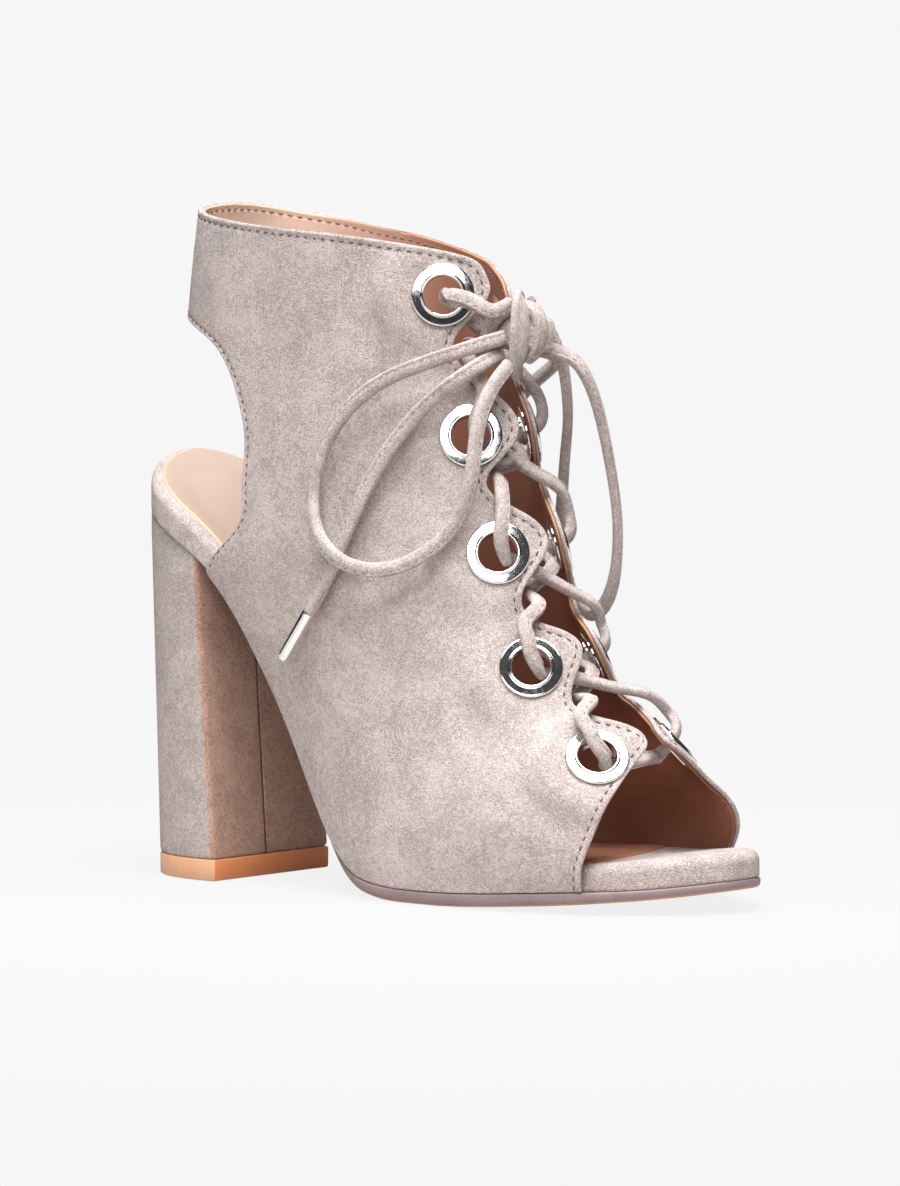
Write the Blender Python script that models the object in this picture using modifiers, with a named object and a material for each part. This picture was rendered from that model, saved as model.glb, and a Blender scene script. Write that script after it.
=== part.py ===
"""A woman's lace-up peep-toe ankle shoe for the right foot, with an open heel and a covered block heel.

The tables are in millimetres and become metres where a mesh is made. X runs from the heel to the toe,
Y to the wearer's left and Z up, and the shoe stands on Z = 0. Tables measure X from the back of the heel.
"""
import math

import bmesh
import bpy
import numpy as np
from mathutils import Matrix, Vector

MM = 0.001

# Driving sizes
LENGTH = 203.0              # insole, from the heel back to the toe tip
HEEL_ROUND = 26.0           # length of the round end of the insole at the heel
TOE_ROUND = 34.0            # and at the toe
TOE_SWING = 2.0             # how far the toe tip lies towards the big toe
WALL = 2.0                  # suede, interlining and lining of the upper together
GAP = 0.3                   # clearance between neighbouring pieces
# Outsole: places along the foot and its thickness there
OUTSOLE_THICKNESS = ((75, 105, 160, 185, 203), (2.2, 3.7, 3.6, 3.0, 2.7))
OUTSOLE_END = 31.7          # where the outsole stops in front of the heel
TOP_PIECE = 6.0             # rubber top piece under the heel
ORIGIN_X = 101.8            # middle of the shoe's box, from the heel back
ORIGIN_Y = 0.3              # and from the line of the heel

# Insole: place along the foot, height of its underside, half widths of the outer and the inner side
# Columns: x, z, right, left
SOLE = np.array([
    (0, 107.2, 27.5, 27.5),
    (16, 100.8, 27.7, 27.7),
    (30, 92.8, 27.6, 27.0),
    (40, 83.5, 26.2, 24.6),
    (51, 66.5, 24.2, 21.8),
    (62, 47.0, 23.4, 20.8),
    (76, 22.0, 25.4, 22.8),
    (89, 8.0, 29.2, 27.2),
    (102, 4.2, 32.6, 31.6),
    (118, 3.6, 34.8, 34.6),
    (134, 3.9, 34.8, 35.8),
    (152, 4.9, 32.4, 34.6),
    (170, 6.0, 28.6, 31.2),
    (188, 7.3, 23.5, 27.0),
    (203, 9.2, 16.0, 21.0),
])
INSOLE_THICKNESS = ((0, 12, 40, 100, 150, 170, 187, 203), (12.0, 10.2, 8.6, 8.0, 7.8, 7.4, 8.3, 7.8))
HEEL_BANK = 4.5             # how far the heel seat rises from its outer to its inner rim

# Sections of the upper from toe to collar, each a fan plane from the sole or heel to the instep
# Columns: sole_x, top_x, top_z, right, left, widest, round_height, round_width
SECTIONS = np.array([
    (174, 177.0, 43.5, 31.5, 34.3, 0.18, 2.0, 1.0),
    (150, 169.0, 51.0, 36.2, 38.0, 0.22, 2.0, 1.0),
    (124, 161.0, 58.5, 38.5, 39.0, 0.25, 2.0, 1.0),
    (98, 153.0, 68.5, 37.0, 36.5, 0.28, 2.0, 1.0),
    (76, 146.5, 82.0, 34.5, 33.5, 0.33, 2.0, 1.0),
    (56, 140.0, 100.0, 32.5, 32.0, 0.38, 2.0, 1.0),
    (38, 134.3, 117.0, 31.5, 31.0, 0.42, 2.2, 1.3),
    (20, 129.6, 133.0, 30.5, 30.5, 0.45, 2.6, 2.0),
    (15.5, 123.8, 153.0, 29.5, 29.5, 0.46, 3.0, 3.0),
    (17.5, 119.6, 171.0, 29.0, 29.0, 0.46, 3.2, 3.2),
    (21.5, 117.2, 183.0, 28.5, 28.5, 0.45, 3.2, 3.2),
])
# Back line above the heel: section, height and half width
# Columns: section, z, half
BACK = np.array([(6, 88, 28), (7, 112, 14), (8, 141, 0), (9, 166, 0), (10, 194.5, 0)])
LEAVE_SOLE = (6.2, 7.0)     # sections between which the back line leaves the sole

# Edges of the upper, run from 0 at the toe to 1 at the back, each point a section and an angle
THROAT_END = 0.6            # where the throat turns into the collar
FEATHER_END = 0.45          # where the feather along the sole turns into the heel cut-out
FEATHER = np.array([(0.0, 0.12), (0.1, 0.9), (0.2, 2.1), (0.3, 3.6), (0.38, 4.9), (0.45, 6.05)])
# Columns: run, section, angle
CUT_OUT = np.array([
    (0.45, 6.05, -90),
    (0.50, 6.42, -38),
    (0.56, 6.78, -21),
    (0.62, 7.20, -14),
    (0.69, 7.65, -12.5),
    (0.78, 8.15, -17),
    (0.88, 8.58, -34),
    (1.00, 8.95, -90),
])
# Columns: run, section, angle
COLLAR = np.array([
    (0.60, 8.95, 81.7),
    (0.64, 9.42, 77),
    (0.68, 9.66, 66),
    (0.74, 9.80, 48),
    (0.80, 9.87, 28),
    (0.87, 9.87, 2),
    (0.93, 9.88, -25),
    (1.00, 9.97, -90),
])
# Throat edge: eyelet number counted from the collar, halves for the valleys, and its section
THROAT = np.array([(1.0, 8.95), (1.5, 8.03), (2.0, 6.96), (2.5, 6.06), (3.0, 5.05), (3.5, 4.28), (4.0, 3.2),
                   (4.5, 2.1), (5.0, 0.1)])
TIP_HALF_GAP = 4.2          # half of the throat's gap at the tabs
VALLEY_HALF_GAP = 15.5      # and between them
TOE_BOW = (0.16, 0.5)       # how far the toe edge bows forward on the outer and inner side, in sections
TOE_SKEW = 0.2              # how far the inner side reaches past the outer side, in sections
INNER_SET_BACK = 4.0        # how far the inner side's instep lies behind the outer side's
SET_BACK_END = (8.2, 10.4)  # sections between which it comes forward to the collar
INNER_DROP = 0.5            # how far the front of the inner collar lies below the outer one, in sections
DROP_RISE = (6.5, 9.0)      # sections between which that begins
DROP_TURN = (-25, 75)        # angles between which it begins
INNER_REACH = 2.4           # how much further the inner side's tabs reach over the instep
TAB_ROUND = (0.02, 0.12)    # rounding of the lowest tabs, as shares of the run and the rise

# Eyelets from the collar down: section and angle of their middles
EYELETS = ((8.85, 57.4), (6.89, 58.7), (5.05, 58.2), (3.33, 59.0), (0.73, 54.1))
EYELET_HOLE = 5.4
EYELET_BARREL = 6.0
EYELET_FLANGE = 9.0
EYELET_WASHER = 8.2
EYELET_CUT = 6.6            # hole in the upper
EYELET_FLAT = 13.0          # the upper is flat as far as this round an eyelet
EYELET_BLEND = 22.0         # and has its own curve from here
EYELET_STEPS = 12

# Heel block at the floor and at its top: half width, back and breast
HEEL_FOOT = (26.0, 2.3, 36.3)
HEEL_HEAD = (27.2, 0.4, 30.6)
HEEL_SQUARE = 2.3           # exponent of its rounded back

# Lace, a folded strip, and the routes of its bow
LACE = 4.0
KNOT = (127.5, 0.0, 157.0)
KNOT_HALF = (5.5, 7.0, 9.0)
AGLET_DIAMETER = 3.2
AGLET_LENGTH = 17.0
# The lace beside an eyelet that it leaves, from the eyelet's middle, on the outer and on the inner side
# Columns: throat, up, out
OUTER_RISE = ((2.5, -1.5, -6.0), (1.6, -2.0, -0.6), (1.6, 2.2, 3.2), (3.4, 6.4, 4.2), (5.2, 10.4, 3.6))
INNER_RISE = ((2.5, -1.5, -6.0), (0.8, 0.4, -0.6), (0.5, 2.8, 3.2), (0.6, 7.0, 4.2))
# The lace from the first eyelet towards the knot
OUTER_LAST = ((2.5, -1.5, -6.0), (0.4, 0.0, -0.6), (2.8, -0.6, 3.2), (7.0, -2.0, 4.4), (13.0, -5.5, 4.4))
INNER_LAST = ((2.5, -1.5, -6.0), (0.4, 0.0, -0.6), (2.8, 0.2, 3.2), (7.0, 1.6, 4.4), (12.0, 4.0, 4.4))
# Its way across the throat, from halfway between the two valleys above the eyelet
# Columns: across, up, out
OUTER_CROSSING = ((-13.0, -2.2, 3.5), (-8.3, 1.4, 0.5), (-3.0, 5.0, -3.2))
INNER_CROSSING = ((13.4, -4.0, 4.4), (8.5, 0.6, 2.6), (3.8, 4.4, 1.3), (-0.8, 7.2, 0.9))
LOOP_RIGHT = ((127, -8.4, 156.4), (123.8, -18.2, 154), (116.8, -24.8, 150.8), (106.2, -29.4, 146.6),
              (95.6, -32.4, 140.2), (87.8, -33.8, 132.2), (82.5, -34.4, 123), (80.3, -35, 113), (82.3, -37, 105),
              (88.2, -39.6, 98.6), (95, -39.9, 94.2), (102, -37.2, 92.2), (109, -33.6, 93), (115.8, -30.8, 96.4),
              (122, -27.8, 102), (126.4, -25.2, 111), (128.4, -23.8, 122), (128.6, -21.8, 132.5), (129.4, -17.2, 142),
              (129.4, -9, 148.8))
LOOP_LEFT = ((131, 6.6, 153), (135.5, 12.5, 150), (138, 16.5, 143.5), (138.5, 21, 134), (138.5, 25.5, 121),
             (138.5, 29, 106), (136.5, 31.5, 92), (131.5, 33.5, 81), (124, 36, 77), (117, 37, 82),
             (114.5, 35.5, 92), (115.5, 33, 102), (118.5, 30, 112), (122, 26.5, 122), (126, 22.5, 132),
             (129, 18, 141.5), (129.6, 14, 151.5), (128.5, 8.2, 160.5))
END_RIGHT = ((124.5, -6.6, 152), (124.6, -21, 147.2), (116.5, -25.2, 140.5), (109, -27.6, 133), (103, -30.2, 124.5),
             (97, -32.3, 114), (92, -34, 103), (87.5, -35, 93), (83, -35.4, 85), (79, -35.2, 79.5))
END_LEFT = ((125, 7.2, 153), (123, 21.5, 149.8), (113.5, 26.5, 144.5), (103.5, 29.4, 138), (95.5, 31.8, 129.3),
            (89, 33.3, 119), (84, 34.3, 108), (80, 35.2, 97), (76.5, 35.7, 86.5))

# Colours as linear red, green and blue, roughness, metallic
SUEDE = ((0.42, 0.345, 0.32), 0.95, 0.0)
SOCK = ((0.62, 0.38, 0.25), 0.6, 0.0)
RUBBER = ((0.66, 0.36, 0.17), 0.55, 0.0)
OUTSOLE = ((0.24, 0.18, 0.19), 0.6, 0.0)
CHROME = ((0.8, 0.8, 0.8), 0.12, 1.0)


def spline(knots, values, at):
    """Natural cubic through rows of values, read at any shape of places."""
    knots, values, at = (np.asarray(a, float) for a in (knots, values, at))
    values = values.reshape(len(knots), -1)
    n = len(knots)
    h = np.diff(knots)
    slope = np.diff(values, axis=0) / h[:, None]
    system = np.eye(n)
    right = np.zeros_like(values)
    for i in range(1, n - 1):
        system[i, i - 1:i + 2] = h[i - 1], 2 * (h[i - 1] + h[i]), h[i]
        right[i] = 6 * (slope[i] - slope[i - 1])
    bend = np.linalg.solve(system, right)
    i = np.clip(np.searchsorted(knots, at, side="right") - 1, 0, n - 2)
    p, q, w = (v[..., None] for v in (at - knots[i], knots[i + 1] - at, h[i]))
    cubic = (bend[i] * q ** 3 + bend[i + 1] * p ** 3) / (6 * w)
    return cubic + (values[i] / w - bend[i] * w / 6) * q + (values[i + 1] / w - bend[i + 1] * w / 6) * p


def ease(low, high, at):
    """Smooth step from 0 at low to 1 at high."""
    s = np.clip((np.asarray(at, float) - low) / (high - low), 0, 1)
    return s * s * (3 - 2 * s)


def unit(vectors):
    return vectors / np.linalg.norm(vectors, axis=-1, keepdims=True)


def sole_at(x):
    """Underside height and half widths of the insole."""
    return np.moveaxis(spline(SOLE[:, 0], SOLE[:, 1:], x), -1, 0)


def section_point(section, angle, side):
    """Point of the upper's outer surface: angle -90 on the sole or heel line, 90 on the instep."""
    section, angle = np.broadcast_arrays(np.asarray(section, float), np.asarray(angle, float))
    if side > 0:
        section = section - INNER_DROP * ease(*DROP_RISE, section) * ease(*DROP_TURN, angle)
    angle = np.radians(angle)
    row = np.moveaxis(spline(np.arange(len(SECTIONS)), SECTIONS, section), -1, 0)
    sole_x, top_x, top_z, right, left, widest, round_height, round_width = row
    if side > 0:
        top_x = top_x - INNER_SET_BACK * (1 - ease(*SET_BACK_END, section))
    sole_z, sole_right, sole_left = sole_at(sole_x)
    back_z, back_half = np.moveaxis(spline(BACK[:, 0], BACK[:, 1:], section), -1, 0)
    leave = ease(*LEAVE_SOLE, section)
    feather = (sole_right if side < 0 else sole_left) + WALL + GAP
    low_z = sole_z + (back_z - sole_z) * leave
    low = np.maximum(feather + (back_half - feather) * leave, 0)
    wide = right if side < 0 else left
    s, c = np.abs(np.sin(angle)), np.abs(np.cos(angle))
    below = angle < 0
    rise = np.where(below, widest * (1 - s ** (2 / round_height)), widest + (1 - widest) * s)
    half = np.where(below, low + (wide - low) * c ** (2 / round_width), wide * c)
    return np.stack([sole_x + (top_x - sole_x) * rise, side * half, low_z + (top_z - low_z) * rise], -1)


def surface_frame(section, angle, side):
    """Point, throatward, upward and outward directions of the outer surface."""
    point = section_point(section, angle, side)
    up = section_point(section + 0.02, angle, side) - section_point(section - 0.02, angle, side)
    throat = unit(section_point(section, angle + 0.5, side) - section_point(section, angle - 0.5, side))
    out = unit(side * np.cross(up, throat))
    return point, throat, side * np.cross(throat, out), out


def inner_reach(number, side):
    """How much further the inner side's throat edge reaches over the instep, below the first tab."""
    return INNER_REACH * ease(1.0, 1.8, number) if side > 0 else 0.0


def eyelet_frame(number, side):
    """Frame of an eyelet, which keeps its distance from its own throat edge."""
    section, angle = EYELETS[number - 1]
    wide = abs(section_point(section, 0.0, side)[1])
    angle = np.degrees(np.arccos(np.cos(np.radians(angle)) - inner_reach(number, side) / wide))
    return surface_frame(section, angle, side)


def flattened(points, side):
    """The surface pressed flat round each eyelet, as a riveted grommet holds it."""
    for number in range(1, len(EYELETS) + 1):
        middle, _, _, out = eyelet_frame(number, side)
        offset = points - middle
        height = offset @ out
        radius = np.linalg.norm(offset - height[..., None] * out, axis=-1)
        near = (np.abs(height) < EYELET_FLAT) * (1 - ease(EYELET_FLAT, EYELET_BLEND, radius))
        points = points - (near * height)[..., None] * out
    return points


def low_edge(run):
    """Section and angle of the lower edge: the feather, then the cut-out to the strap."""
    section, angle = np.moveaxis(spline(CUT_OUT[:, 0], CUT_OUT[:, 1:], np.maximum(run, FEATHER_END)), -1, 0)
    feather = spline(FEATHER[:, 0], FEATHER[:, 1], run)[..., 0]
    on_sole = run <= FEATHER_END
    return np.where(on_sole, feather, section), np.where(on_sole, -90.0, np.clip(angle, -90, 90))


def throat_edge(number, side):
    """Section of the throat at an eyelet number, angle at the tabs' line, and how far a valley lies below it."""
    section = spline(THROAT[:, 0], THROAT[:, 1], number)[..., 0]
    tip = TIP_HALF_GAP - inner_reach(number, side)
    gap = tip + (VALLEY_HALF_GAP - TIP_HALF_GAP) * np.sin(np.pi * number) ** 2
    wide = np.abs(section_point(section, np.zeros_like(section), side)[..., 1])
    tabs, edge = (np.degrees(np.arccos(g / wide)) for g in (tip, gap))
    return section, tabs, tabs - edge


def top_edge(run, side):
    """Section and angle of the upper edge, the throat and then the collar, and the depth of its scallops."""
    number = np.clip(5 - 4 * run / THROAT_END, 1, 5)
    throat_section, throat_angle, dip = throat_edge(number, side)
    section, angle = np.moveaxis(spline(COLLAR[:, 0], COLLAR[:, 1:], np.maximum(run, THROAT_END)), -1, 0)
    in_throat = run <= THROAT_END
    return np.where(in_throat, throat_section, section), np.where(in_throat, throat_angle, angle), dip


def upper_point(run, up, side):
    """Outer surface of the upper, run from toe to back and up from its lower to its upper edge."""
    run, up = np.broadcast_arrays(run, up)
    along, over = np.clip(1 - run / TAB_ROUND[0], 0, 1), np.clip(1 - (1 - up) / TAB_ROUND[1], 0, 1)
    run = run + TAB_ROUND[0] * along * (1 - np.sqrt(1 - over ** 2 / 2))
    up = up - TAB_ROUND[1] * over * (1 - np.sqrt(1 - along ** 2 / 2))
    low_section, low_angle = low_edge(run)
    top_section, top_angle, dip = top_edge(run, side)
    spread = up ** (0.45 + 0.55 * ease(0.35, 0.7, run))
    angle = low_angle + (top_angle - low_angle) * spread - dip * up ** 3
    lean = ease(0, 1, up)
    lean = lean + (up - lean) * ease(0.85, 1, run)
    section = low_section + (top_section - low_section) * lean
    toe = np.clip(1 - run / 0.1, 0, 1) ** 2
    outer_bow, inner_bow = TOE_BOW
    bow = (outer_bow if side < 0 else inner_bow) * np.sin(np.pi * np.clip(angle / 85, 0, 1))
    bow = bow + (TOE_SKEW if side > 0 else 0)
    return flattened(section_point(section - toe * bow, angle, side), side)


def empty_scene():
    for item in list(bpy.data.objects):
        bpy.data.objects.remove(item, do_unlink=True)


def collection(name):
    group = bpy.data.collections.new(name)
    bpy.context.scene.collection.children.link(group)
    return group


def material(name, look):
    colour, roughness, metallic = look
    made = bpy.data.materials.new(name)
    made.use_nodes = True
    shader = made.node_tree.nodes["Principled BSDF"]
    shader.inputs["Base Color"].default_value = (*colour, 1.0)
    shader.inputs["Roughness"].default_value = roughness
    shader.inputs["Metallic"].default_value = metallic
    return made


class Shoe:
    """Adds pieces under one empty that carries the shoe to its own middle."""

    def __init__(self):
        self.parts = collection("lace_up_shoe")
        self.tools = collection("cutters")
        self.root = bpy.data.objects.new("shoe", None)
        self.root.location = (-ORIGIN_X * MM, -ORIGIN_Y * MM, 0.0)
        self.parts.objects.link(self.root)

    def add(self, name, data, look=None, cutter=False):
        piece = bpy.data.objects.new(name, data)
        (self.tools if cutter else self.parts).objects.link(piece)
        piece.parent = self.root
        if look is not None:
            data.materials.append(material(name, look))
        if cutter:
            piece.hide_render = True
            piece.display_type = "WIRE"
        return piece


def mesh_from(name, build):
    """A mesh made by a function that fills a bmesh."""
    work = bmesh.new()
    build(work)
    mesh = bpy.data.meshes.new(name)
    work.to_mesh(mesh)
    work.free()
    mesh.shade_smooth()
    mesh.set_sharp_from_angle(angle=math.radians(35))
    return mesh


def ladder(work, ring):
    """Close a ring that starts at its back end with rungs between its two sides."""
    low, high = 1, len(ring) - 1
    work.faces.new((ring[0], ring[1], ring[-1]))
    while high - low > 2:
        work.faces.new((ring[low], ring[low + 1], ring[high - 1], ring[high]))
        low, high = low + 1, high - 1
    if high - low == 2:
        work.faces.new((ring[low], ring[low + 1], ring[high]))


def stacked(name, rings):
    """A closed solid through rings of points that run right side first from the back end."""
    def build(work):
        levels = [[work.verts.new(Vector(p) * MM) for p in ring] for ring in rings]
        for lower, upper in zip(levels, levels[1:]):
            count = len(lower)
            for i in range(count):
                j = (i + 1) % count
                work.faces.new((lower[i], lower[j], upper[j], upper[i]))
        ladder(work, levels[0])
        ladder(work, levels[-1])
        bmesh.ops.recalc_face_normals(work, faces=work.faces)
    return mesh_from(name, build)


def sole_stations(start):
    """Places along the foot, closer together in the round ends."""
    heel = HEEL_ROUND * (1 - np.cos(np.linspace(0, math.pi / 2, 8)))
    toe = LENGTH - TOE_ROUND * (1 - np.cos(np.linspace(math.pi / 2, 0, 9)))
    places = np.concatenate([heel, np.linspace(HEEL_ROUND, LENGTH - TOE_ROUND, 26)[1:-1], toe])
    return places[places >= start]


def sole_ring(start, grow, inset, height):
    """Plan ring of the sole: its growth, inset and height are functions or numbers along the foot."""
    x = sole_stations(start)
    _, right, left = sole_at(x)
    close = np.ones(len(x))
    heel = x < HEEL_ROUND
    toe = x > LENGTH - TOE_ROUND
    close[heel] = np.sqrt(np.clip(1 - ((HEEL_ROUND - x[heel]) / HEEL_ROUND) ** 2, 0, 1))
    close[toe] = np.clip(1 - ((x[toe] - LENGTH + TOE_ROUND) / TOE_ROUND) ** 2.6, 0, 1) ** (1 / 2.1)
    swing = TOE_SWING * np.clip((x - 170) / (LENGTH - 170), 0, 1) ** 1.5
    outer = np.stack([x, swing - right * close], -1)
    inner = np.stack([x, swing + left * close], -1)
    last = -1 if close[-1] < 1e-6 else len(x)
    first = 1 if close[0] < 1e-6 else 0
    ring = np.concatenate([outer, inner[first:last][::-1]])
    along = unit(np.roll(ring, -1, 0) - np.roll(ring, 1, 0))
    outward = np.stack([along[:, 1], -along[:, 0]], -1)
    move = (grow(ring[:, 0]) if callable(grow) else grow) - inset
    ring = ring + outward * np.broadcast_to(move, len(ring))[:, None]
    return np.column_stack([ring, height(*ring.T)])


def sole_height(x):
    return sole_at(np.clip(x, 0, LENGTH))[0]


def insole_rise(x, y):
    """Thickness of the insole, with its heel seat banked up to the inner and the back rim."""
    bank = HEEL_BANK * ease(-24, 12, y) * (1 - ease(14, 46, x))
    return np.interp(x, *INSOLE_THICKNESS) + bank


def insole(shoe):
    """Padded board with a rounded top edge; its wrapped rim shows at the heel and the toe."""
    def top(share, drop):
        return lambda x, y: sole_height(x) + insole_rise(x, y) * share - drop
    levels = ((0.8, top(0, 0)), (0.0, top(0, -1.0)), (0.0, top(1, 3.0)), (0.9, top(1, 0.9)), (3.0, top(1, 0)))
    rings = [sole_ring(0, 0, inset, height) for inset, height in levels]
    shoe.add("insole", stacked("insole", rings), SUEDE)


def outsole(shoe):
    """Thin sole from the toe to the heel breast, flat on the floor under the ball."""
    def grow(x):
        return np.interp(x, (60, 96, 168, 178), (-1.5, WALL + GAP + 0.3, WALL + GAP + 0.3, 0.6))

    def top(x, _):
        return sole_height(x) - GAP - 0.2

    def bottom(x, _):
        return np.maximum(sole_height(x) - np.interp(x, *OUTSOLE_THICKNESS), 0.0)
    levels = ((1.2, bottom), (0.0, lambda x, y: bottom(x, y) + 0.8), (0.0, top))
    rings = [sole_ring(OUTSOLE_END, grow, inset, height) for inset, height in levels]
    shoe.add("outsole", stacked("outsole", rings), OUTSOLE)


def heel_ring(share, height, grow=0.0, count=11):
    """Plan of the heel between its foot and its head, with a flat breast and a rounded back."""
    half, back, breast = (a + (b - a) * share for a, b in zip(HEEL_FOOT, HEEL_HEAD))
    turn = np.linspace(0, math.pi / 2, count)
    x = breast - (breast - back) * np.cos(turn) ** (2 / HEEL_SQUARE)
    y = half * np.sin(turn) ** (2 / HEEL_SQUARE)
    ring = np.concatenate([np.stack([x, -y], -1), np.stack([x, y], -1)[:0:-1]])
    middle = np.array([(breast + back) / 2, 0.0])
    ring = middle + (ring - middle) * (1 + grow / half)
    return np.column_stack([ring, height(ring[:, 0])])


def heel(shoe):
    """Covered block and its rubber top piece."""
    def level(share):
        foot = TOP_PIECE + GAP
        return lambda x: foot + (sole_height(x) - GAP - foot) * share
    block = [heel_ring(share, level(share)) for share in (0, 0.25, 0.5, 0.75, 1)]
    shoe.add("heel_block", stacked("heel_block", block), SUEDE)

    def flat(height):
        return lambda x: np.full(len(x), height)
    piece = [heel_ring(0, flat(z), grow) for z, grow in ((0.0, -0.3), (0.6, 0.2), (TOP_PIECE, 0.2))]
    shoe.add("heel_top_piece", stacked("heel_top_piece", piece), RUBBER)


def upper(shoe):
    """One wall from the outer toe corner round the ankle strap to the inner toe corner."""
    columns, rows = 52, 8
    run, up = np.meshgrid(np.linspace(0, 1, columns + 1), np.linspace(0, 1, rows + 1), indexing="ij")
    outer, inner = (upper_point(run, up, side) for side in (-1, 1))
    outer[-1, :, 1] = 0.0
    grid = np.concatenate([outer, inner[-2::-1]])

    def build(work):
        verts = [[work.verts.new(Vector(p) * MM) for p in column] for column in grid]
        for left, right in zip(verts, verts[1:]):
            for j in range(rows):
                work.faces.new((left[j], left[j + 1], right[j + 1], right[j]))
    piece = shoe.add("upper", mesh_from("upper", build), SUEDE)
    wall = piece.modifiers.new("wall", "SOLIDIFY")
    wall.thickness = WALL * MM
    wall.offset = -1.0
    wall.use_even_offset = True
    holes = piece.modifiers.new("eyelet_holes", "BOOLEAN")
    holes.operation = "DIFFERENCE"
    holes.solver = "EXACT"
    holes.object = eyelet_cutter(shoe)


def eyelet_places():
    for side, word in ((-1, "right"), (1, "left")):
        for number in range(1, len(EYELETS) + 1):
            yield "eyelet_%s_%d" % (word, number), eyelet_frame(number, side)


def placed(frame):
    """Matrix that puts a turned piece on the surface with its axis along the outward direction."""
    point, throat, _, out = frame
    across = np.cross(out, throat)
    turn = Matrix((throat, across, out)).transposed().to_4x4()
    return Matrix.Translation(Vector(point) * MM) @ turn


def eyelet_cutter(shoe):
    def build(work):
        for _, frame in eyelet_places():
            bmesh.ops.create_cone(work, cap_ends=True, segments=EYELET_STEPS, radius1=EYELET_CUT * MM,
                                  radius2=EYELET_CUT * MM, depth=10 * MM, matrix=placed(frame))
    return shoe.add("eyelet_cutter", mesh_from("eyelet_cutter", build), cutter=True)


def eyelets(shoe):
    """Turned grommets, a domed flange outside and a washer inside."""
    inside = -WALL - GAP
    profile = ((EYELET_HOLE, 1.1), (EYELET_HOLE + 0.7, 1.6), (EYELET_FLANGE - 0.8, 1.3), (EYELET_FLANGE, GAP),
               (EYELET_BARREL, GAP), (EYELET_BARREL, inside), (EYELET_WASHER, inside),
               (EYELET_WASHER, inside - 0.7), (EYELET_HOLE, inside - 0.9))
    mesh = bpy.data.meshes.new("eyelet")
    points = [(r * MM, 0, z * MM) for r, z in profile]
    edges = [(i, (i + 1) % len(points)) for i in range(len(points))]
    mesh.from_pydata(points, edges, [])
    mesh.materials.append(material("eyelet", CHROME))
    for name, frame in eyelet_places():
        piece = shoe.add(name, mesh)
        piece.matrix_basis = placed(frame)
        turn = piece.modifiers.new("turn", "SCREW")
        turn.axis = "Z"
        turn.angle = math.tau
        turn.steps = EYELET_STEPS
        turn.render_steps = EYELET_STEPS
        turn.use_merge_vertices = True
        turn.merge_threshold = 0.00005


def smooth_route(points, step):
    """Points at even steps on a smooth curve through a route."""
    points = np.asarray(points, float)
    chord = np.concatenate([[0], np.cumsum(np.linalg.norm(np.diff(points, axis=0), axis=1))])
    fine = spline(chord, points, np.linspace(0, chord[-1], 40 * len(points)))
    length = np.concatenate([[0], np.cumsum(np.linalg.norm(np.diff(fine, axis=0), axis=1))])
    count = max(2, round(length[-1] / step))
    even = np.linspace(0, length[-1], count + 1)
    return np.stack([np.interp(even, length, fine[:, k]) for k in range(3)], -1)


def tube_curve(name, route):
    curve = bpy.data.curves.new(name, "CURVE")
    curve.dimensions = "3D"
    curve.bevel_depth = LACE / 2 * MM
    curve.bevel_resolution = 2
    curve.use_fill_caps = True
    line = curve.splines.new("POLY")
    line.points.add(len(route) - 1)
    for target, point in zip(line.points, route):
        target.co = (*(Vector(point) * MM), 1.0)
    return curve


def tube_mesh(name, route):
    """A lace tube as a closed mesh, so that it can be joined to another."""
    made = bpy.data.objects.new(name, tube_curve(name, route))
    bpy.context.scene.collection.objects.link(made)
    graph = bpy.context.evaluated_depsgraph_get()
    mesh = bpy.data.meshes.new_from_object(made.evaluated_get(graph))
    bpy.data.objects.remove(made, do_unlink=True)
    work = bmesh.new()
    work.from_mesh(mesh)
    bmesh.ops.remove_doubles(work, verts=work.verts, dist=0.00001)
    bmesh.ops.recalc_face_normals(work, faces=work.faces)
    work.to_mesh(mesh)
    work.free()
    return mesh


def at_eyelet(side, number, throat, up, out):
    """A point beside an eyelet, measured from its middle on the outer surface."""
    point, to_throat, upward, outward = eyelet_frame(number, side)
    return point + throat * to_throat + up * upward + out * outward


def throat_point(number, across, up, out):
    """A point in the throat above an eyelet, measured from halfway between its two valleys."""
    valleys = []
    for side in (-1, 1):
        section, tabs, dip = (float(v) for v in throat_edge(np.array(number - 0.5), side))
        valleys.append(surface_frame(section, tabs - dip, side))
    (right, _, _, right_out), (left, _, _, left_out) = valleys
    to_left = unit(left - right)
    outward = right_out + left_out
    outward = unit(outward - (outward @ to_left) * to_left)
    return (right + left) / 2 + across * to_left + up * np.cross(outward, to_left) + out * outward


def strand(side):
    """One end of the lace: out of an eyelet, over its own edge, across, and under the other edge.

    Where two strands cross, the one from the inner side lies on top.
    """
    route = []
    for number in (5, 4, 3, 2):
        rise, crossing = (OUTER_RISE, OUTER_CROSSING) if side < 0 else (INNER_RISE, INNER_CROSSING)
        route += [at_eyelet(side, number, *place) for place in rise]
        route += [throat_point(number, *place) for place in crossing]
        side = -side
        route.append(at_eyelet(side, number - 1, 8.0, -7.0, -5.0))
    route += [at_eyelet(side, 1, *place) for place in (OUTER_LAST if side < 0 else INNER_LAST)]
    route.append(np.array(KNOT) + (-1.0, side * 5.0, KNOT_HALF[2] - 0.4))
    return route


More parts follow.
